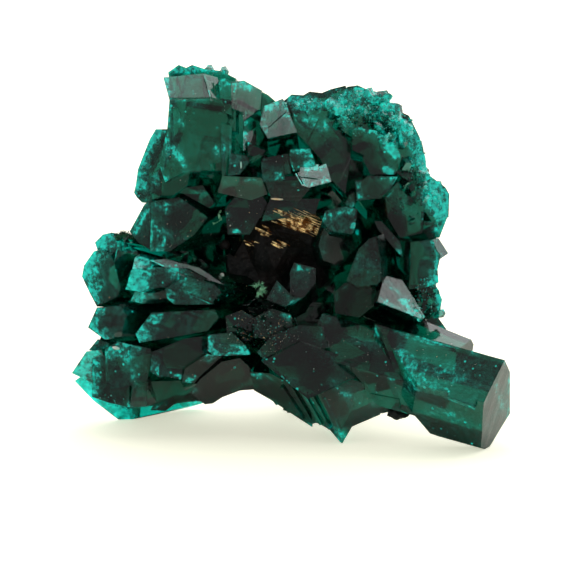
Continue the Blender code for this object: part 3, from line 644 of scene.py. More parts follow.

# %% [markdown]
# Light that falls into the hollow and between the crystals doesn't come back out of
# them. So each corner also stores how open it lies: the share of lines that start
# on it and get clear of the cluster. The glass is painted darker where few get
# clear: painted shade in the hollow and between the crystals.

# %% Measure how open each corner lies
OPEN_REACH = 9.0 * MM
OPEN_START = 0.03 * MM
OPEN_RINGS = [
    # tilt from the normal in degrees, number of lines, the turn of the first in steps
    (20, 3, 0.0),
    (45, 6, 0.5),
    (70, 6, 0.0),
]


def open_directions():
    ways = []
    for tilt, number, first in OPEN_RINGS:
        level = math.sin(math.radians(tilt))
        for step in range(number):
            angle = 2 * math.pi * (step + first) / number
            ways.append(Vector((
                level * math.cos(angle), level * math.sin(angle), math.cos(math.radians(tilt)))))
    return ways


OPEN_WAYS = open_directions()


def openness_at(tree, vertex):
    turn = Vector((0, 0, 1)).rotation_difference(vertex.normal)
    start = vertex.co + vertex.normal * OPEN_START
    clear = 0
    for way in OPEN_WAYS:
        turned = way.copy()
        turned.rotate(turn)
        clear += tree.ray_cast(start, turned, OPEN_REACH)[0] is None
    return clear / len(OPEN_WAYS)


print("lines that measure openness:", len(OPEN_WAYS))

# %% [markdown]
# The three values go into layers of the mesh, where the glass can read them. A
# fourth, the grain, is the distance across the striations of each face. It is kept
# for each face's own corners, since two faces that meet run in different ways, and
# each direction adds a shift of its own, so that no pattern repeats on another face.

# %% Store the values in the mesh
VEIL_FADE = 2.2
GRAIN_SHIFT = 40.0
GRAIN_MIX = Vector((1.0, 1.7, 2.9))

crystals.normal_update()
glow_layer = crystals.verts.layers.float.new("glow")
veil_layer = crystals.verts.layers.float.new("painted_veil_light_and_shade")
open_layer = crystals.verts.layers.float.new("openness")
grain_layer = crystals.loops.layers.float.new("grain")
across_of_face = crystals.faces.layers.float_vector["across"]
detailed_tree = BVHTree.FromBMesh(crystals)
painted_veil_shares = corners_near_veils(crystals, VEIL_FADE)
for number, vertex in enumerate(crystals.verts):
    vertex[glow_layer] = glow_at(detailed_tree, vertex)
    vertex[open_layer] = openness_at(detailed_tree, vertex)
    vertex[veil_layer] = painted_veil_shares.get(number, 0.0)
for face in crystals.faces:
    across = Vector(face[across_of_face])
    shift = GRAIN_SHIFT * across.dot(GRAIN_MIX)
    for loop in face.loops:
        loop[grain_layer] = loop.vert.co.dot(across) / MM + shift
values = sorted(vertex[glow_layer] for vertex in crystals.verts)
print("glow from", round(values[0], 3), "to", round(values[-1], 3))
print("middle glow:", round(values[len(values) // 2], 3))
print("seconds so far:", round(time.time() - started, 1))

# %% [markdown]
# Every mesh becomes a piece in the same way: it is linked to the scene, gets its
# finish, rides on the one body of this object, and hides the node that it replaces.

# %% Turn a mesh into a piece
def piece_from(bm, name, finish, slot, *nodes):
    mesh = bpy.data.meshes.new(name)
    bm.to_mesh(mesh)
    bm.free()
    piece = bpy.data.objects.new(name, mesh)
    bpy.context.scene.collection.objects.link(piece)
    mesh.materials.append(finish)
    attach(piece, "root")
    if nodes:
        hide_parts(*nodes)
    return piece

# %% [markdown]
# All finishes of this cluster are built from the same few kinds of node. Each kind
# gets a short helper that sets its values, links what feeds it and hands out the
# socket with its result. The first ones make a value and work with it.

# %% Make and change a value in a finish
def new_finish(name):
    finish = bpy.data.materials.new(name)
    finish.use_nodes = True
    nodes = finish.node_tree.nodes
    return finish, nodes, finish.node_tree.links, nodes["Principled BSDF"]


def noise_node(nodes, links, coords, scale, detail=3.0, roughness=0.55):
    made = nodes.new("ShaderNodeTexNoise")
    made.inputs["Scale"].default_value = scale
    made.inputs["Detail"].default_value = detail
    made.inputs["Roughness"].default_value = roughness
    links.new(coords.outputs["Object"], made.inputs["Vector"])
    return made.outputs["Fac"]


def range_node(nodes, links, source, read, give, smooth=False):
    """Turns a value between the two numbers read into one between the two numbers given."""
    made = nodes.new("ShaderNodeMapRange")
    made.interpolation_type = "SMOOTHSTEP" if smooth else "LINEAR"
    made.inputs["From Min"].default_value = read[0]
    made.inputs["From Max"].default_value = read[1]
    made.inputs["To Min"].default_value = give[0]
    made.inputs["To Max"].default_value = give[1]
    links.new(source, made.inputs["Value"])
    return made.outputs["Result"]


def math_node(nodes, links, operation, first, second):
    made = nodes.new("ShaderNodeMath")
    made.operation = operation
    links.new(first, made.inputs[0])
    links.new(second, made.inputs[1])
    return made.outputs["Value"]


def stored_value(nodes, name):
    made = nodes.new("ShaderNodeAttribute")
    made.attribute_name = name
    return made.outputs["Fac"]

# %% [markdown]
# A value becomes visible as a colour or as a height. A ramp looks up a colour for
# it, and a bump tilts the shading as if the surface rose where the value is high.

# %% Turn a value into a colour or a height
def ramp_node(nodes, links, source, stops):
    """Colours along a value; each stop is a position and a colour, in order."""
    made = nodes.new("ShaderNodeValToRGB")
    elements = made.color_ramp.elements
    for element, (position, colour) in zip(elements, (stops[0], stops[-1])):
        element.position = position
        element.color = (*colour, 1)
    for position, colour in stops[1:-1]:
        elements.new(position).color = (*colour, 1)
    links.new(source, made.inputs["Fac"])
    return made.outputs["Color"]


def bump_node(nodes, links, source, strength, depth, below=None):
    made = nodes.new("ShaderNodeBump")
    made.inputs["Strength"].default_value = strength
    made.inputs["Distance"].default_value = depth
    links.new(source, made.inputs["Height"])
    if below is not None:
        links.new(below, made.inputs["Normal"])
    return made.outputs["Normal"]

# %% [markdown]
# The real glass is cloudy. Large bodies, clouds and fine specks are three sizes of
# noise, and threads run along the grain like fibres. Each one makes the stored glow
# a little stronger or weaker, and the veils are added on top. All of this is painted
# into the colour: the glow and a rim on thin edges as painted light, the openness as
# painted shade in the hollow, and the veils as painted highlights and shade.

# %% Work out how brightly the glass shines
BODY_SCALE = 170.0
CLOUD_SCALE = 420.0
SPECK_SCALE = 3200.0
THREAD_SCALE = 5.0

dioptase, nodes, links, shader = new_finish("dioptase_glass")
coords = nodes.new("ShaderNodeTexCoord")
glow = stored_value(nodes, "glow")
openness = stored_value(nodes, "openness")
painted_veil_light_and_shade = stored_value(nodes, "painted_veil_light_and_shade")
body = noise_node(nodes, links, coords, BODY_SCALE, 2.0, 0.5)
cloud = noise_node(nodes, links, coords, CLOUD_SCALE, 6.0, 0.62)
speck = noise_node(nodes, links, coords, SPECK_SCALE, 4.0, 0.6)
threads = nodes.new("ShaderNodeTexNoise")
threads.noise_dimensions = "1D"
threads.inputs["Scale"].default_value = THREAD_SCALE
threads.inputs["Detail"].default_value = 3.0
links.new(stored_value(nodes, "grain"), threads.inputs["W"])
thread = threads.outputs["Fac"]

bodies = range_node(nodes, links, body, (0.35, 0.65), (0.60, 1.30))
clouds = range_node(nodes, links, cloud, (0.34, 0.68), (0.62, 1.30))
specks = range_node(nodes, links, speck, (0.38, 0.66), (0.68, 1.35))
fibres = range_node(nodes, links, thread, (0.35, 0.65), (0.90, 1.10))
# the shine and the rim are painted light from the stored glow; open_light paints shade where the openness
# is low
shine = range_node(nodes, links, glow, (0.08, 0.60), (0.21, 0.52))
rim = range_node(nodes, links, glow, (0.42, 0.90), (0.0, 0.30), smooth=True)
open_light = range_node(nodes, links, openness, (0.15, 0.95), (0.10, 1.25), smooth=True)

mottle = math_node(nodes, links, "MULTIPLY", clouds, specks)
mottle = math_node(nodes, links, "MULTIPLY", mottle, fibres)
lit = math_node(nodes, links, "MULTIPLY", shine, bodies)
lit = math_node(nodes, links, "ADD", lit, rim)
lit = math_node(nodes, links, "MULTIPLY", lit, open_light)
lit = math_node(nodes, links, "ADD", lit, painted_veil_light_and_shade)
amount = math_node(nodes, links, "MULTIPLY", mottle, lit)
print("nodes of the shine:", len(nodes))

# %% [markdown]
# Grains of other minerals are caught in the crystals and flash as single dots. The
# flash is painted: a brighter turquoise dot in the colour of the glass, dimmed by
# the painted shade of the openness. A cell pattern with cells half a millimetre
# wide gives each cell one chance value, and only the cells with a high value carry
# a dot at their middle.

# %% Scatter painted glints of inclusions in the glass
INCLUSION_SCALE = 1900.0

cells = nodes.new("ShaderNodeTexVoronoi")
cells.inputs["Scale"].default_value = INCLUSION_SCALE
links.new(coords.outputs["Object"], cells.inputs["Vector"])
chosen = nodes.new("ShaderNodeSeparateColor")
links.new(cells.outputs["Color"], chosen.inputs[0])
few = range_node(nodes, links, chosen.outputs[0], (0.66, 0.98), (0.0, 1.0))
dot = range_node(nodes, links, cells.outputs["Distance"], (0.08, 0.20), (1.0, 0.0))
painted_inclusion_glint = math_node(nodes, links, "MULTIPLY", few, dot)
painted_inclusion_glint = math_node(nodes, links, "MULTIPLY", painted_inclusion_glint, open_light)
amount = math_node(nodes, links, "ADD", amount, painted_inclusion_glint)
amount.node.use_clamp = True
print("nodes with the inclusions:", len(nodes))

# %% [markdown]
# The amount, which carries the painted light and shade, picks the colour, from
# nearly black green to turquoise. Where it is low the glass is clear, and where it
# is high it turns half milky, as in a veil. The brightest veils also send out a
# little light of their own, a painted glow: it stands for daylight that the facets
# inside gather there.

# %% Colour the glass
GREENS = [
    # amount, colour
    (0.0, (0.001, 0.09, 0.068)),
    (0.10, (0.004, 0.26, 0.195)),
    (0.30, (0.009, 0.45, 0.345)),
    (0.60, (0.02, 0.67, 0.545)),
    (1.0, (0.05, 0.86, 0.76)),
]
SPARK_COLOUR = (0.0, 0.85, 0.68, 1)

tint = ramp_node(nodes, links, amount, GREENS)
links.new(tint, shader.inputs["Base Color"])
clear = range_node(nodes, links, amount, (0.20, 1.0), (0.97, 0.55))
links.new(clear, shader.inputs["Transmission Weight"])
spark = range_node(nodes, links, amount, (0.50, 1.0), (0.0, 0.24))
glitter = range_node(nodes, links, speck, (0.40, 0.64), (0.25, 1.8))
spark = math_node(nodes, links, "MULTIPLY", spark, glitter)
shader.inputs["Emission Color"].default_value = SPARK_COLOUR
links.new(spark, shader.inputs["Emission Strength"])
print("greens:", len(GREENS))

# %% [markdown]
# Dioptase bends light strongly, with an index of refraction of 1.66, and takes the
# red out of it within a millimetre. A long crystal is therefore black where light
# crosses it lengthwise. Two bumps add the fibres and the specks to its gloss.

# %% Refract, absorb and ripple
REFRACTION = 1.66
ABSORBED = (0.0, 0.83, 0.80, 1)
ABSORPTION = 1700.0

shader.inputs["IOR"].default_value = REFRACTION
shader.inputs["Specular IOR Level"].default_value = 0.4
gloss = range_node(nodes, links, speck, (0.3, 0.7), (0.03, 0.15))
links.new(gloss, shader.inputs["Roughness"])
absorb = nodes.new("ShaderNodeVolumeAbsorption")
absorb.inputs["Color"].default_value = ABSORBED
absorb.inputs["Density"].default_value = ABSORPTION
links.new(absorb.outputs["Volume"], nodes["Material Output"].inputs["Volume"])
fibre_bump = bump_node(nodes, links, thread, 0.5, 0.008 * MM)
speck_bump = bump_node(nodes, links, speck, 0.3, 0.012 * MM, fibre_bump)
links.new(speck_bump, shader.inputs["Normal"])

crystal_piece = piece_from(crystals, "crystals", dioptase, "dioptase", "dioptase_crystals")
print("crystals:", len(crystal_piece.data.polygons), "triangles in", crystal_piece.name)

# %% [markdown]
# Behind the hollow lies the host rock: dark, rusty and rough. It starts from the
# model's plain lump, is made finer, and each corner is moved by two sizes of noise.

# %% Roughen the host rock
ROCK_EDGE = 0.24 * MM
CRUMB_EDGE = 0.12 * MM
SMALL_WAVE = 3.1


def joined(parts):
    whole = bmesh.new()
    for part in parts:
        mesh = bpy.data.meshes.new("part")
        part.to_mesh(mesh)
        part.free()
        whole.from_mesh(mesh)
        bpy.data.meshes.remove(mesh)
    return whole


def rough_copy(name, longest, lift, size):
    bm = copy_of_node(name)
    refine(bm, longest)
    bm.normal_update()
    for vertex in bm.verts:
        wave = noise.noise(vertex.co / size) + 0.5 * abs(noise.noise(vertex.co / size * SMALL_WAVE))
        vertex.co += vertex.normal * wave * lift
    return bm


matrix = rough_copy("matrix", ROCK_EDGE, 0.16 * MM, 0.9 * MM)
matrix_tree = BVHTree.FromBMesh(matrix)
crumb = rough_copy("matrix_crumb", CRUMB_EDGE, 0.10 * MM, 0.35 * MM)
print("triangles of the rock:", len(matrix.faces), "and of its crumb:", len(crumb.faces))

# %% [markdown]
# The rock is dark green to rust brown, with pale grit that shows only where one of
# two noises is strongest. A small round ball of the same stuff lies at its left.

# %% Finish the host rock
STAINS = [(0.42, (0.0015, 0.004, 0.003)), (0.68, (0.014, 0.005, 0.0035))]
GRIT_COLOUR = (0.06, 0.05, 0.03, 1)
BALL_PIXEL = (224.5, 244.5)
BALL_RADIUS = 0.36 * MM

rock, nodes, links, shader = new_finish("host_rock")
coords = nodes.new("ShaderNodeTexCoord")
patches = noise_node(nodes, links, coords, 500.0, 5.0)
grit = noise_node(nodes, links, coords, 5000.0, 4.0, 0.65)
stain = ramp_node(nodes, links, patches, STAINS)
grains = range_node(nodes, links, grit, (0.62, 0.74), (0.0, 1.0))
blend = nodes.new("ShaderNodeMix")
blend.data_type = "RGBA"
links.new(grains, blend.inputs["Factor"])
links.new(stain, blend.inputs["A"])
blend.inputs["B"].default_value = GRIT_COLOUR
links.new(blend.outputs["Result"], shader.inputs["Base Color"])
dull = range_node(nodes, links, grit, (0.3, 0.7), (0.75, 0.35))
links.new(dull, shader.inputs["Roughness"])
bump = bump_node(nodes, links, grit, 0.7, 0.05 * MM)
links.new(bump, shader.inputs["Normal"])

ball_place = surface_at(cluster_tree, *BALL_PIXEL)[0]
ball = bmesh.new()
bmesh.ops.create_icosphere(
    ball, subdivisions=3, radius=BALL_RADIUS, matrix=Matrix.Translation(ball_place))
piece_from(joined([matrix, ball]), "host_rock_core", rock, "host_rock", "matrix")
piece_from(crumb, "host_rock_crumb", rock, "host_rock", "matrix_crumb")
print("seconds so far:", round(time.time() - started, 1))

# %% [markdown]
# In the hollow a bronze film of iron oxide lies on the rock in slanting ridges. Each
# ridge is a long four-sided cone that is laid along the slant and tapers to one end,
# with a small turn of its own, so that some catch the light and some stay dark.

# %% Make one bronze ridge
def nearest_surface(px, py):
    """The nearer of the crystals and the rock behind a pixel."""
    hits = [surface_at(tree, px, py) for tree in (cluster_tree, matrix_tree)]
    hits = [hit for hit in hits if hit[0] is not None]
    return min(hits, key=lambda hit: (hit[0] - camera.location).length) if hits else (None, None)


def ridge(place, way, facing, length, width, roll):
    """A tapered bar along a way, with one of its four sides turned to face a direction."""
    bm = bmesh.new()
    bmesh.ops.create_cone(
        bm, cap_ends=True, segments=4, radius1=width / 2, radius2=width / 5, depth=length)
    bmesh.ops.rotate(bm, matrix=Matrix.Rotation(math.pi / 4 + roll, 3, "Z"), verts=bm.verts)
    side = (facing - way * facing.dot(way)).normalized()
    turn = Matrix((side, way.cross(side), way)).transposed().to_4x4()
    bmesh.ops.transform(bm, matrix=Matrix.Translation(place) @ turn, verts=bm.verts)
    return bm

# %% [markdown]
# The film lies in one broad patch, which two rows share, and in four small ones. Its
# ridges are scattered by chance, lean only a little from the common slant, and stand
# a tenth of a millimetre proud, or the rough rock would swallow them.

# %% Lay the bronze ridges
BRONZE_PATCHES = [
    # middle, reach in pixels, how many, length in mm, width in mm
    ((298, 220), (18, 9), 90, 1.40, 0.032),
    ((304, 226), (11, 6), 100, 1.30, 0.036),
    ((265, 231), (7, 5), 24, 0.45, 0.06),
    ((281, 245), (6, 3), 16, 0.60, 0.06),
    ((251, 243), (6, 3), 10, 0.30, 0.05),
    ((250, 338), (14, 6), 10, 0.10, 0.05),
]
BRONZE_SLANT = (1, 0.46)
BRONZE_LIFT = 0.13 * MM
BRONZE_FACING = Vector((0.1, -0.8, 0.6))
BRONZE_TILT = 0.15
BRONZE_REACH = 1.1

chance = random.Random(31)
ridges = []
for (px, py), (reach_x, reach_y), count, length, width in BRONZE_PATCHES:
    for _ in range(count):
        x = px + chance.uniform(-reach_x, reach_x)
        y = py + chance.uniform(-reach_y, reach_y) + (x - px) * BRONZE_TILT
        place, normal = nearest_surface(x, y)
        way = along_picture(BRONZE_SLANT[0], BRONZE_SLANT[1] + chance.gauss(0, 0.05))
        size = chance.uniform(0.4, 1.2)
        roll = chance.gauss(0, 0.35)
        if place is None or math.hypot((x - px) / reach_x, (y - py) / reach_y) > BRONZE_REACH:
            continue
        place = place - line_through(x, y) * BRONZE_LIFT * chance.uniform(0.3, 1.2)
        ridges.append(ridge(place, way, BRONZE_FACING, length * size * MM, width * size * MM, roll))
print("bronze ridges:", len(ridges))

# %% [markdown]
# The film is a golden metal with brown gaps. A finer sparkle than these ridges can
# carry is made up for by a little light of its own.

# %% Finish the bronze
BRONZE_TONES = [(0.44, (0.13, 0.045, 0.008)), (0.58, (1.0, 0.76, 0.36))]

bronze, nodes, links, shader = new_finish("bronze_film")
coords = nodes.new("ShaderNodeTexCoord")
tone = noise_node(nodes, links, coords, 2400.0, 3.0)
tones = ramp_node(nodes, links, tone, BRONZE_TONES)
links.new(tones, shader.inputs["Base Color"])
links.new(tones, shader.inputs["Emission Color"])
shader.inputs["Emission Strength"].default_value = 0.42
shader.inputs["Metallic"].default_value = 0.7
shader.inputs["Roughness"].default_value = 0.36
bronze_piece = piece_from(joined(ridges), "bronze_ridges", bronze, "host_rock")
print("bronze faces:", len(bronze_piece.data.polygons))

# %% [markdown]
# Malachite grows on the dioptase as tufts of fine needles, pale green in the middle
# and nearly black at the left. Each tuft has a bent stem, which is a few
# pixels of the picture, and its needles spread from places along the stem.

# %% Make a tuft of needles
def needle(root, way, length, width):
    bm = bmesh.new()
    bmesh.ops.create_cone(
        bm, cap_ends=True, segments=5, radius1=width / 2, radius2=width / 9, depth=length)
    bmesh.ops.translate(bm, vec=Vector((0, 0, length / 2)), verts=bm.verts)
    turn = Vector((0, 0, 1)).rotation_difference(way).to_matrix().to_4x4()
    bmesh.ops.transform(bm, matrix=Matrix.Translation(root) @ turn, verts=bm.verts)
    return bm


NOT_THE_END = 1.001


def tuft(stem, middle, count, length, width, chance):
    """Needles that spread from places along a stem, which is a line of pixels as deep as the middle."""
    depth = (middle - camera.location).length
    joints = [camera.location + line_through(px, py) * depth for px, py in stem]
    needles = []
    for _ in range(count):
        part = chance.uniform(0, len(joints) - NOT_THE_END)
        root = joints[int(part)].lerp(joints[int(part) + 1], part % 1)
        way = Vector([chance.gauss(0, 1) for _ in range(3)])
        way.y = -abs(way.y)
        way.normalize()
        long = length * chance.uniform(0.4, 1.1) * MM
        wide = width * chance.uniform(0.6, 1.3) * MM
        needles.append(needle(root, way, long, wide))
    return needles

# %% [markdown]
# Moss-like malachite has no gloss. It needs two finishes, which differ only in their
# colours: a pale one for the two tufts in the middle and a nearly black one for the
# left tuft. In each of them noise mixes two greens, so that no two needles look the same.

# %% Finish the malachite
def moss_finish(name, dark, pale):
    finish, nodes, links, shader = new_finish(name)
    coords = nodes.new("ShaderNodeTexCoord")
    tone = noise_node(nodes, links, coords, 3600.0, 4.0)
    tones = ramp_node(nodes, links, tone, [(0.36, dark), (0.66, pale)])
    links.new(tones, shader.inputs["Base Color"])
    shader.inputs["Roughness"].default_value = 0.6
    bump = bump_node(nodes, links, tone, 0.6, 0.02 * MM)
    links.new(bump, shader.inputs["Normal"])
    return finish


pale_moss = moss_finish("pale_malachite", (0.06, 0.30, 0.15), (0.42, 0.88, 0.60))
dark_moss = moss_finish("dark_malachite", (0.002, 0.035, 0.016), (0.03, 0.22, 0.10))
print("malachite finishes:", pale_moss.name, dark_moss.name)

# %% [markdown]
# Each tuft takes the place of one small lump of the model. A shrunk, roughened copy
# of the lump stays in its middle as a heart, so that no gap shows between needles.

# %% Grow the malachite tufts
TUFTS = [
    # node, finish, the pixels of its stem, needles, their length and width in mm
    ("malachite_tuft_centre", pale_moss, ((254, 286), (262, 284), (264, 292), (256, 294)),
     110, 0.36, 0.07),
    ("malachite_tuft_wisp", pale_moss, ((221, 210), (219, 215), (221, 219), (218, 222), (213, 224)),
     70, 0.12, 0.035),
    ("malachite_tuft_left", dark_moss, ((116, 238), (122, 233), (128, 235), (134, 236), (136, 230)),
     340, 0.34, 0.06),
]
HEART = (0.22, 0.3, 0.25)

chance = random.Random(17)
for node, finish, stem, count, length, width in TUFTS:
    low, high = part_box(node)
    middle = (Vector(low) + Vector(high)) / 2
    heart = rough_copy(node, 0.12 * MM, -0.09 * MM, 0.25 * MM)
    bmesh.ops.scale(heart, vec=HEART, space=Matrix.Translation(-middle), verts=heart.verts)
    whole = joined([heart] + tuft(stem, middle, count, length, width, chance))
    name = node.replace("malachite_", "needles_")
    piece = piece_from(whole, name, finish, "malachite", node)
    print(name, "triangles:", sum(len(face.vertices) - 2 for face in piece.data.polygons))

# %% [markdown]
# The crust at the top right and on the knobs glitters in turquoise: its smallest
# crystals are too fine to be clear. They are made as frosted bits of their own, a
# tenth of a millimetre wide, and lie on the crust and on the ledges at the middle.

# %% Sprinkle the frosted druse
FROST_PATCHES = [
    # middle, reach in pixels; how many; width in mm
    ((364, 102), (32, 13), 190, 0.13),
    ((314, 104), (30, 6), 130, 0.11),
    ((350, 122), (18, 14), 70, 0.10),
    ((394, 128), (20, 18), 110, 0.12),
    ((418, 162), (8, 26), 80, 0.11),
    ((432, 196), (12, 22), 90, 0.10),
    ((426, 298), (11, 20), 60, 0.10),
    ((262, 332), (32, 14), 60, 0.07),
    ((220, 352), (20, 8), 20, 0.07),
    ((112, 404), (18, 10), 26, 0.08),
    ((250, 250), (50, 45), 40, 0.05),
]
FROST_PROUD = 0.3

chance = random.Random(41)
frost = []
for middle, reach, count, width in FROST_PATCHES:
    for _ in range(count):
        place, normal = surface_at(detailed_tree, *pixel_in_ellipse(middle, reach, chance))
        lean = Vector([chance.gauss(0, 0.5) for _ in range(3)])
        size = width * MM * chance.uniform(0.4, 1.3)
        roll = chance.uniform(0, 2 * math.pi)
        if place is not None:
            tip = place + normal * size * FROST_PROUD
            frost.append(small_crystal(tip, (normal + lean).normalized(), size, size, roll))
print("frosted bits:", len(frost))

# %% [markdown]
# Frosted bits are solid to the eye: turquoise in three tones, with the gloss of
# glass and nothing to see through.

# %% Finish the frosted druse
FROST_TONES = [(0.36, (0.004, 0.20, 0.165)), (0.52, (0.02, 0.48, 0.42)), (0.68, (0.30, 0.86, 0.78))]

frosted, nodes, links, shader = new_finish("frosted_druse")
coords = nodes.new("ShaderNodeTexCoord")
tone = noise_node(nodes, links, coords, 1500.0, 3.0)
tones = ramp_node(nodes, links, tone, FROST_TONES)
links.new(tones, shader.inputs["Base Color"])
shader.inputs["Roughness"].default_value = 0.18
shader.inputs["IOR"].default_value = REFRACTION
frost_piece = piece_from(joined(frost), "frosted_druse", frosted, "dioptase")
print("frost faces:", len(frost_piece.data.polygons))

# %% [markdown]
# Dust and tiny chips lie all over the real piece. Each fleck is a twenty-sided ball,
# flattened and turned by chance, that lies on the surface behind a random pixel.

# %% Scatter the dust
DUST_COUNT = 820
DUST_SIZE = 0.012
DUST_SPREAD = 0.5
DUST_AREAS = [
    # middle and reach in pixels, share of the flecks
    ((290, 260), (210, 190), 0.45),
    ((264, 328), (40, 24), 0.34),
    ((250, 255), (70, 50), 0.18),
    ((190, 200), (60, 60), 0.08),
    ((400, 370), (90, 50), 0.15),
]


def fleck(place, normal, size, chance):
    bm = bmesh.new()
    bmesh.ops.create_icosphere(bm, subdivisions=1, radius=size)
    bmesh.ops.scale(bm, vec=(1, chance.uniform(0.5, 1), chance.uniform(0.3, 0.6)), verts=bm.verts)
    turn = Vector((0, 0, 1)).rotation_difference(normal).to_matrix().to_4x4()
    spin = Matrix.Rotation(chance.uniform(0, 2 * math.pi), 4, "Z")
    bmesh.ops.transform(bm, matrix=Matrix.Translation(place) @ turn @ spin, verts=bm.verts)
    return bm


chance = random.Random(23)
flecks = []
for middle, reach, share in DUST_AREAS:
    for _ in range(round(DUST_COUNT * share)):
        place, normal = surface_at(detailed_tree, *pixel_in_ellipse(middle, reach, chance))
        size = DUST_SIZE * math.exp(chance.gauss(0, DUST_SPREAD)) * MM
        if place is not None:
            flecks.append(fleck(place, normal, size, chance))
print("dust flecks:", len(flecks))

# %% [markdown]
# A few pale chips are larger than dust and each lies at a place of its own, turned
# flat to the viewer: a white sliver, two short splinters and a round grain.

# %% Lay the single chips
SINGLE_BITS = [
    # pixel, half its length, width and height in mm, the way of its length
    ((277, 199), (0.48, 0.08, 0.04), (1, 0.06)),
    ((222, 275), (0.17, 0.17, 0.12), (1, 0)),
    ((241, 165), (0.06, 0.26, 0.05), (1, 0)),
    ((116, 348), (0.30, 0.12, 0.05), (1, 0.2)),
]
CHIP_LIFT = 0.05 * MM

for pixel, half, way in SINGLE_BITS:
    place = nearest_surface(*pixel)[0]
    bit = bmesh.new()
    bmesh.ops.create_icosphere(bit, subdivisions=1, radius=MM)
    bmesh.ops.scale(bit, vec=half, verts=bit.verts)
    run = along_picture(*way)
    back = line_through(*pixel)
    turn = Matrix((run, back.cross(run).normalized(), back)).transposed().to_4x4()
    bmesh.ops.transform(bit, matrix=Matrix.Translation(place - back * CHIP_LIFT) @ turn, verts=bit.verts)
    flecks.append(bit)
print("dust flecks and chips:", len(flecks))

# %% [markdown]
# Dust shows in three tones: turquoise powder of dioptase, white, and warm grit.

# %% Finish the dust
DUST_TONES = [(0.40, (0.45, 0.90, 0.80)), (0.50, (0.95, 0.96, 0.90)), (0.60, (0.95, 0.70, 0.38))]

dust, nodes, links, shader = new_finish("pale_dust")
coords = nodes.new("ShaderNodeTexCoord")
tone = noise_node(nodes, links, coords, 900.0, 2.0)
tones = ramp_node(nodes, links, tone, DUST_TONES)
links.new(tones, shader.inputs["Base Color"])
shader.inputs["Roughness"].default_value = 0.5
dust_piece = piece_from(joined(flecks), "dust", dust, "host_rock")
print("dust faces:", len(dust_piece.data.polygons))

# %% [markdown]
# The piece lies on a plain pale sheet. The room before the cluster is dark, so the
# sheet is dimmer in front for light that a facet mirrors. For the camera alone it
# is a little brighter, which keeps the shadow as pale as a soft studio's.

# %% Lay the sheet
SHEET_DROP = 0.02 * MM
DIM_EDGE = (-16 * MM, -9 * MM)
SHEET_COLOUR = (0.94, 0.93, 0.80, 1)
DIM_COLOUR = (0.25, 0.25, 0.24, 1)
FILL_COLOUR = (1.0, 0.985, 0.80, 1)
FILL_STRENGTH = 0.58

sheet_mesh = bmesh.new()
bmesh.ops.create_grid(sheet_mesh, x_segments=1, y_segments=1, size=1.0)
bmesh.ops.translate(sheet_mesh, vec=Vector((0, 0, -SHEET_DROP)), verts=sheet_mesh.verts)
floor = scratch_object(sheet_mesh, "floor")
paper, nodes, links, shader = new_finish("paper")
coords = nodes.new("ShaderNodeTexCoord")
split = nodes.new("ShaderNodeSeparateXYZ")
links.new(coords.outputs["Object"], split.inputs[0])
before = range_node(nodes, links, split.outputs["Y"], DIM_EDGE, (1.0, 0.0), smooth=True)
ray = nodes.new("ShaderNodeLightPath")
dimmed = math_node(nodes, links, "MULTIPLY", before, ray.outputs["Is Glossy Ray"])
shade = nodes.new("ShaderNodeMix")
shade.data_type = "RGBA"
links.new(dimmed, shade.inputs["Factor"])
shade.inputs["A"].default_value = SHEET_COLOUR
shade.inputs["B"].default_value = DIM_COLOUR
links.new(shade.outputs["Result"], shader.inputs["Base Color"])
shader.inputs["Roughness"].default_value = 0.9
shader.inputs["Specular IOR Level"].default_value = 0.1
shader.inputs["Emission Color"].default_value = FILL_COLOUR
fill = range_node(nodes, links, ray.outputs["Is Camera Ray"], (0.0, 1.0), (0.0, FILL_STRENGTH))
links.new(fill, shader.inputs["Emission Strength"])
floor.data.materials.append(paper)
print("staged:", floor.name)

# %% [markdown]
# The world is white paper all round, bright behind and dim before the cluster, so
# that faces turned to the viewer stay dark. The camera itself sees plain white.

# %% Light the world
WORLD_EDGE = (-0.45, 0.6)
WORLD_LIGHT = (0.27, 1.50)
BACKDROP = 1.1

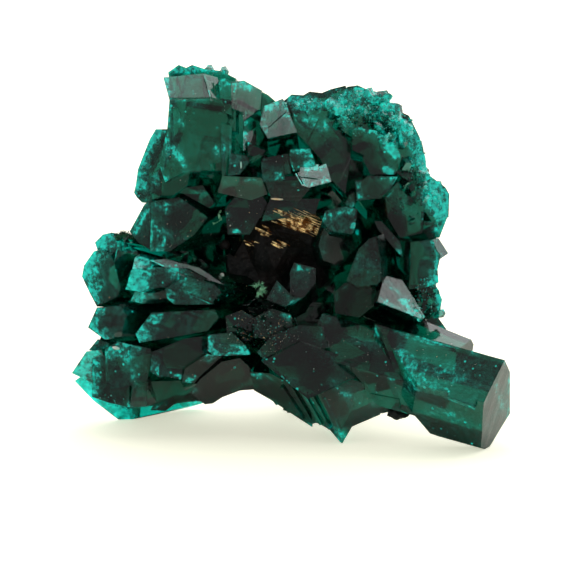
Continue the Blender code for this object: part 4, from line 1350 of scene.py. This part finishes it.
world = bpy.data.worlds.new("studio")
world.use_nodes = True
bpy.context.scene.world = world
nodes = world.node_tree.nodes
links = world.node_tree.links
sky = nodes["Background"]
coords = nodes.new("ShaderNodeTexCoord")
split = nodes.new("ShaderNodeSeparateXYZ")
links.new(coords.outputs["Generated"], split.inputs[0])
front = range_node(nodes, links, split.outputs["Y"], WORLD_EDGE, WORLD_LIGHT)
seen_by = nodes.new("ShaderNodeLightPath")
mix = nodes.new("ShaderNodeMix")
links.new(seen_by.outputs["Is Camera Ray"], mix.inputs["Factor"])
links.new(front, mix.inputs[2])
mix.inputs[3].default_value = BACKDROP
links.new(mix.outputs[0], sky.inputs["Strength"])
sky.inputs["Color"].default_value = (1, 1, 1, 1)
print("world:", world.name)

# %% [markdown]
# A flat facet acts as a mirror, so one lamp can light one facet. Each lamp stands
# where a facet that is bright on the real piece would mirror it to the camera.

# %% Set up the lamps
def soft_light(name, azimuth, elevation, distance, size, watts):
    """A lamp seen from the cluster at an angle right of the front and an angle up."""
    azimuth = math.radians(azimuth)
    elevation = math.radians(elevation)
    data = bpy.data.lights.new(name, "AREA")
    data.shape = "RECTANGLE"
    data.size = size[0]
    data.size_y = size[1]
    data.energy = watts
    lamp = bpy.data.objects.new(name, data)
    bpy.context.scene.collection.objects.link(lamp)
    way = Vector((math.cos(elevation) * math.sin(azimuth), -math.cos(elevation) * math.cos(azimuth),
                  math.sin(elevation)))
    lamp.location = VIEW_CENTRE + way * distance
    lamp.rotation_euler = way.to_track_quat("Z", "Y").to_euler()
    return lamp


LAMPS = [
    # name, degrees right of the front and up, distance in m, width and height in m, watts
    ("front softbox", 24, 63, 0.30, (0.045, 0.05), 0.0185),
    ("front card", 25, 23, 0.30, (0.03, 0.035), 0.0045),
    ("low card", 6, 25, 0.30, (0.03, 0.03), 0.0045),
    ("blade card", 47, 49, 0.30, (0.03, 0.03), 0.004),
    ("right softbox", 99, 50, 0.30, (0.12, 0.12), 0.075),
    ("top softbox", 120, 87, 0.30, (0.12, 0.12), 0.034),
    ("back softbox", 162, 44, 0.35, (0.2, 0.2), 0.06),
]
for lamp in LAMPS:
    soft_light(*lamp)
print("lamps:", len(LAMPS))

# %% [markdown]
# The standard view keeps the white of the sheet white.

# %% Finish
bpy.context.scene.view_settings.view_transform = "Standard"

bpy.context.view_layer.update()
print("seconds in all:", round(time.time() - started, 1))
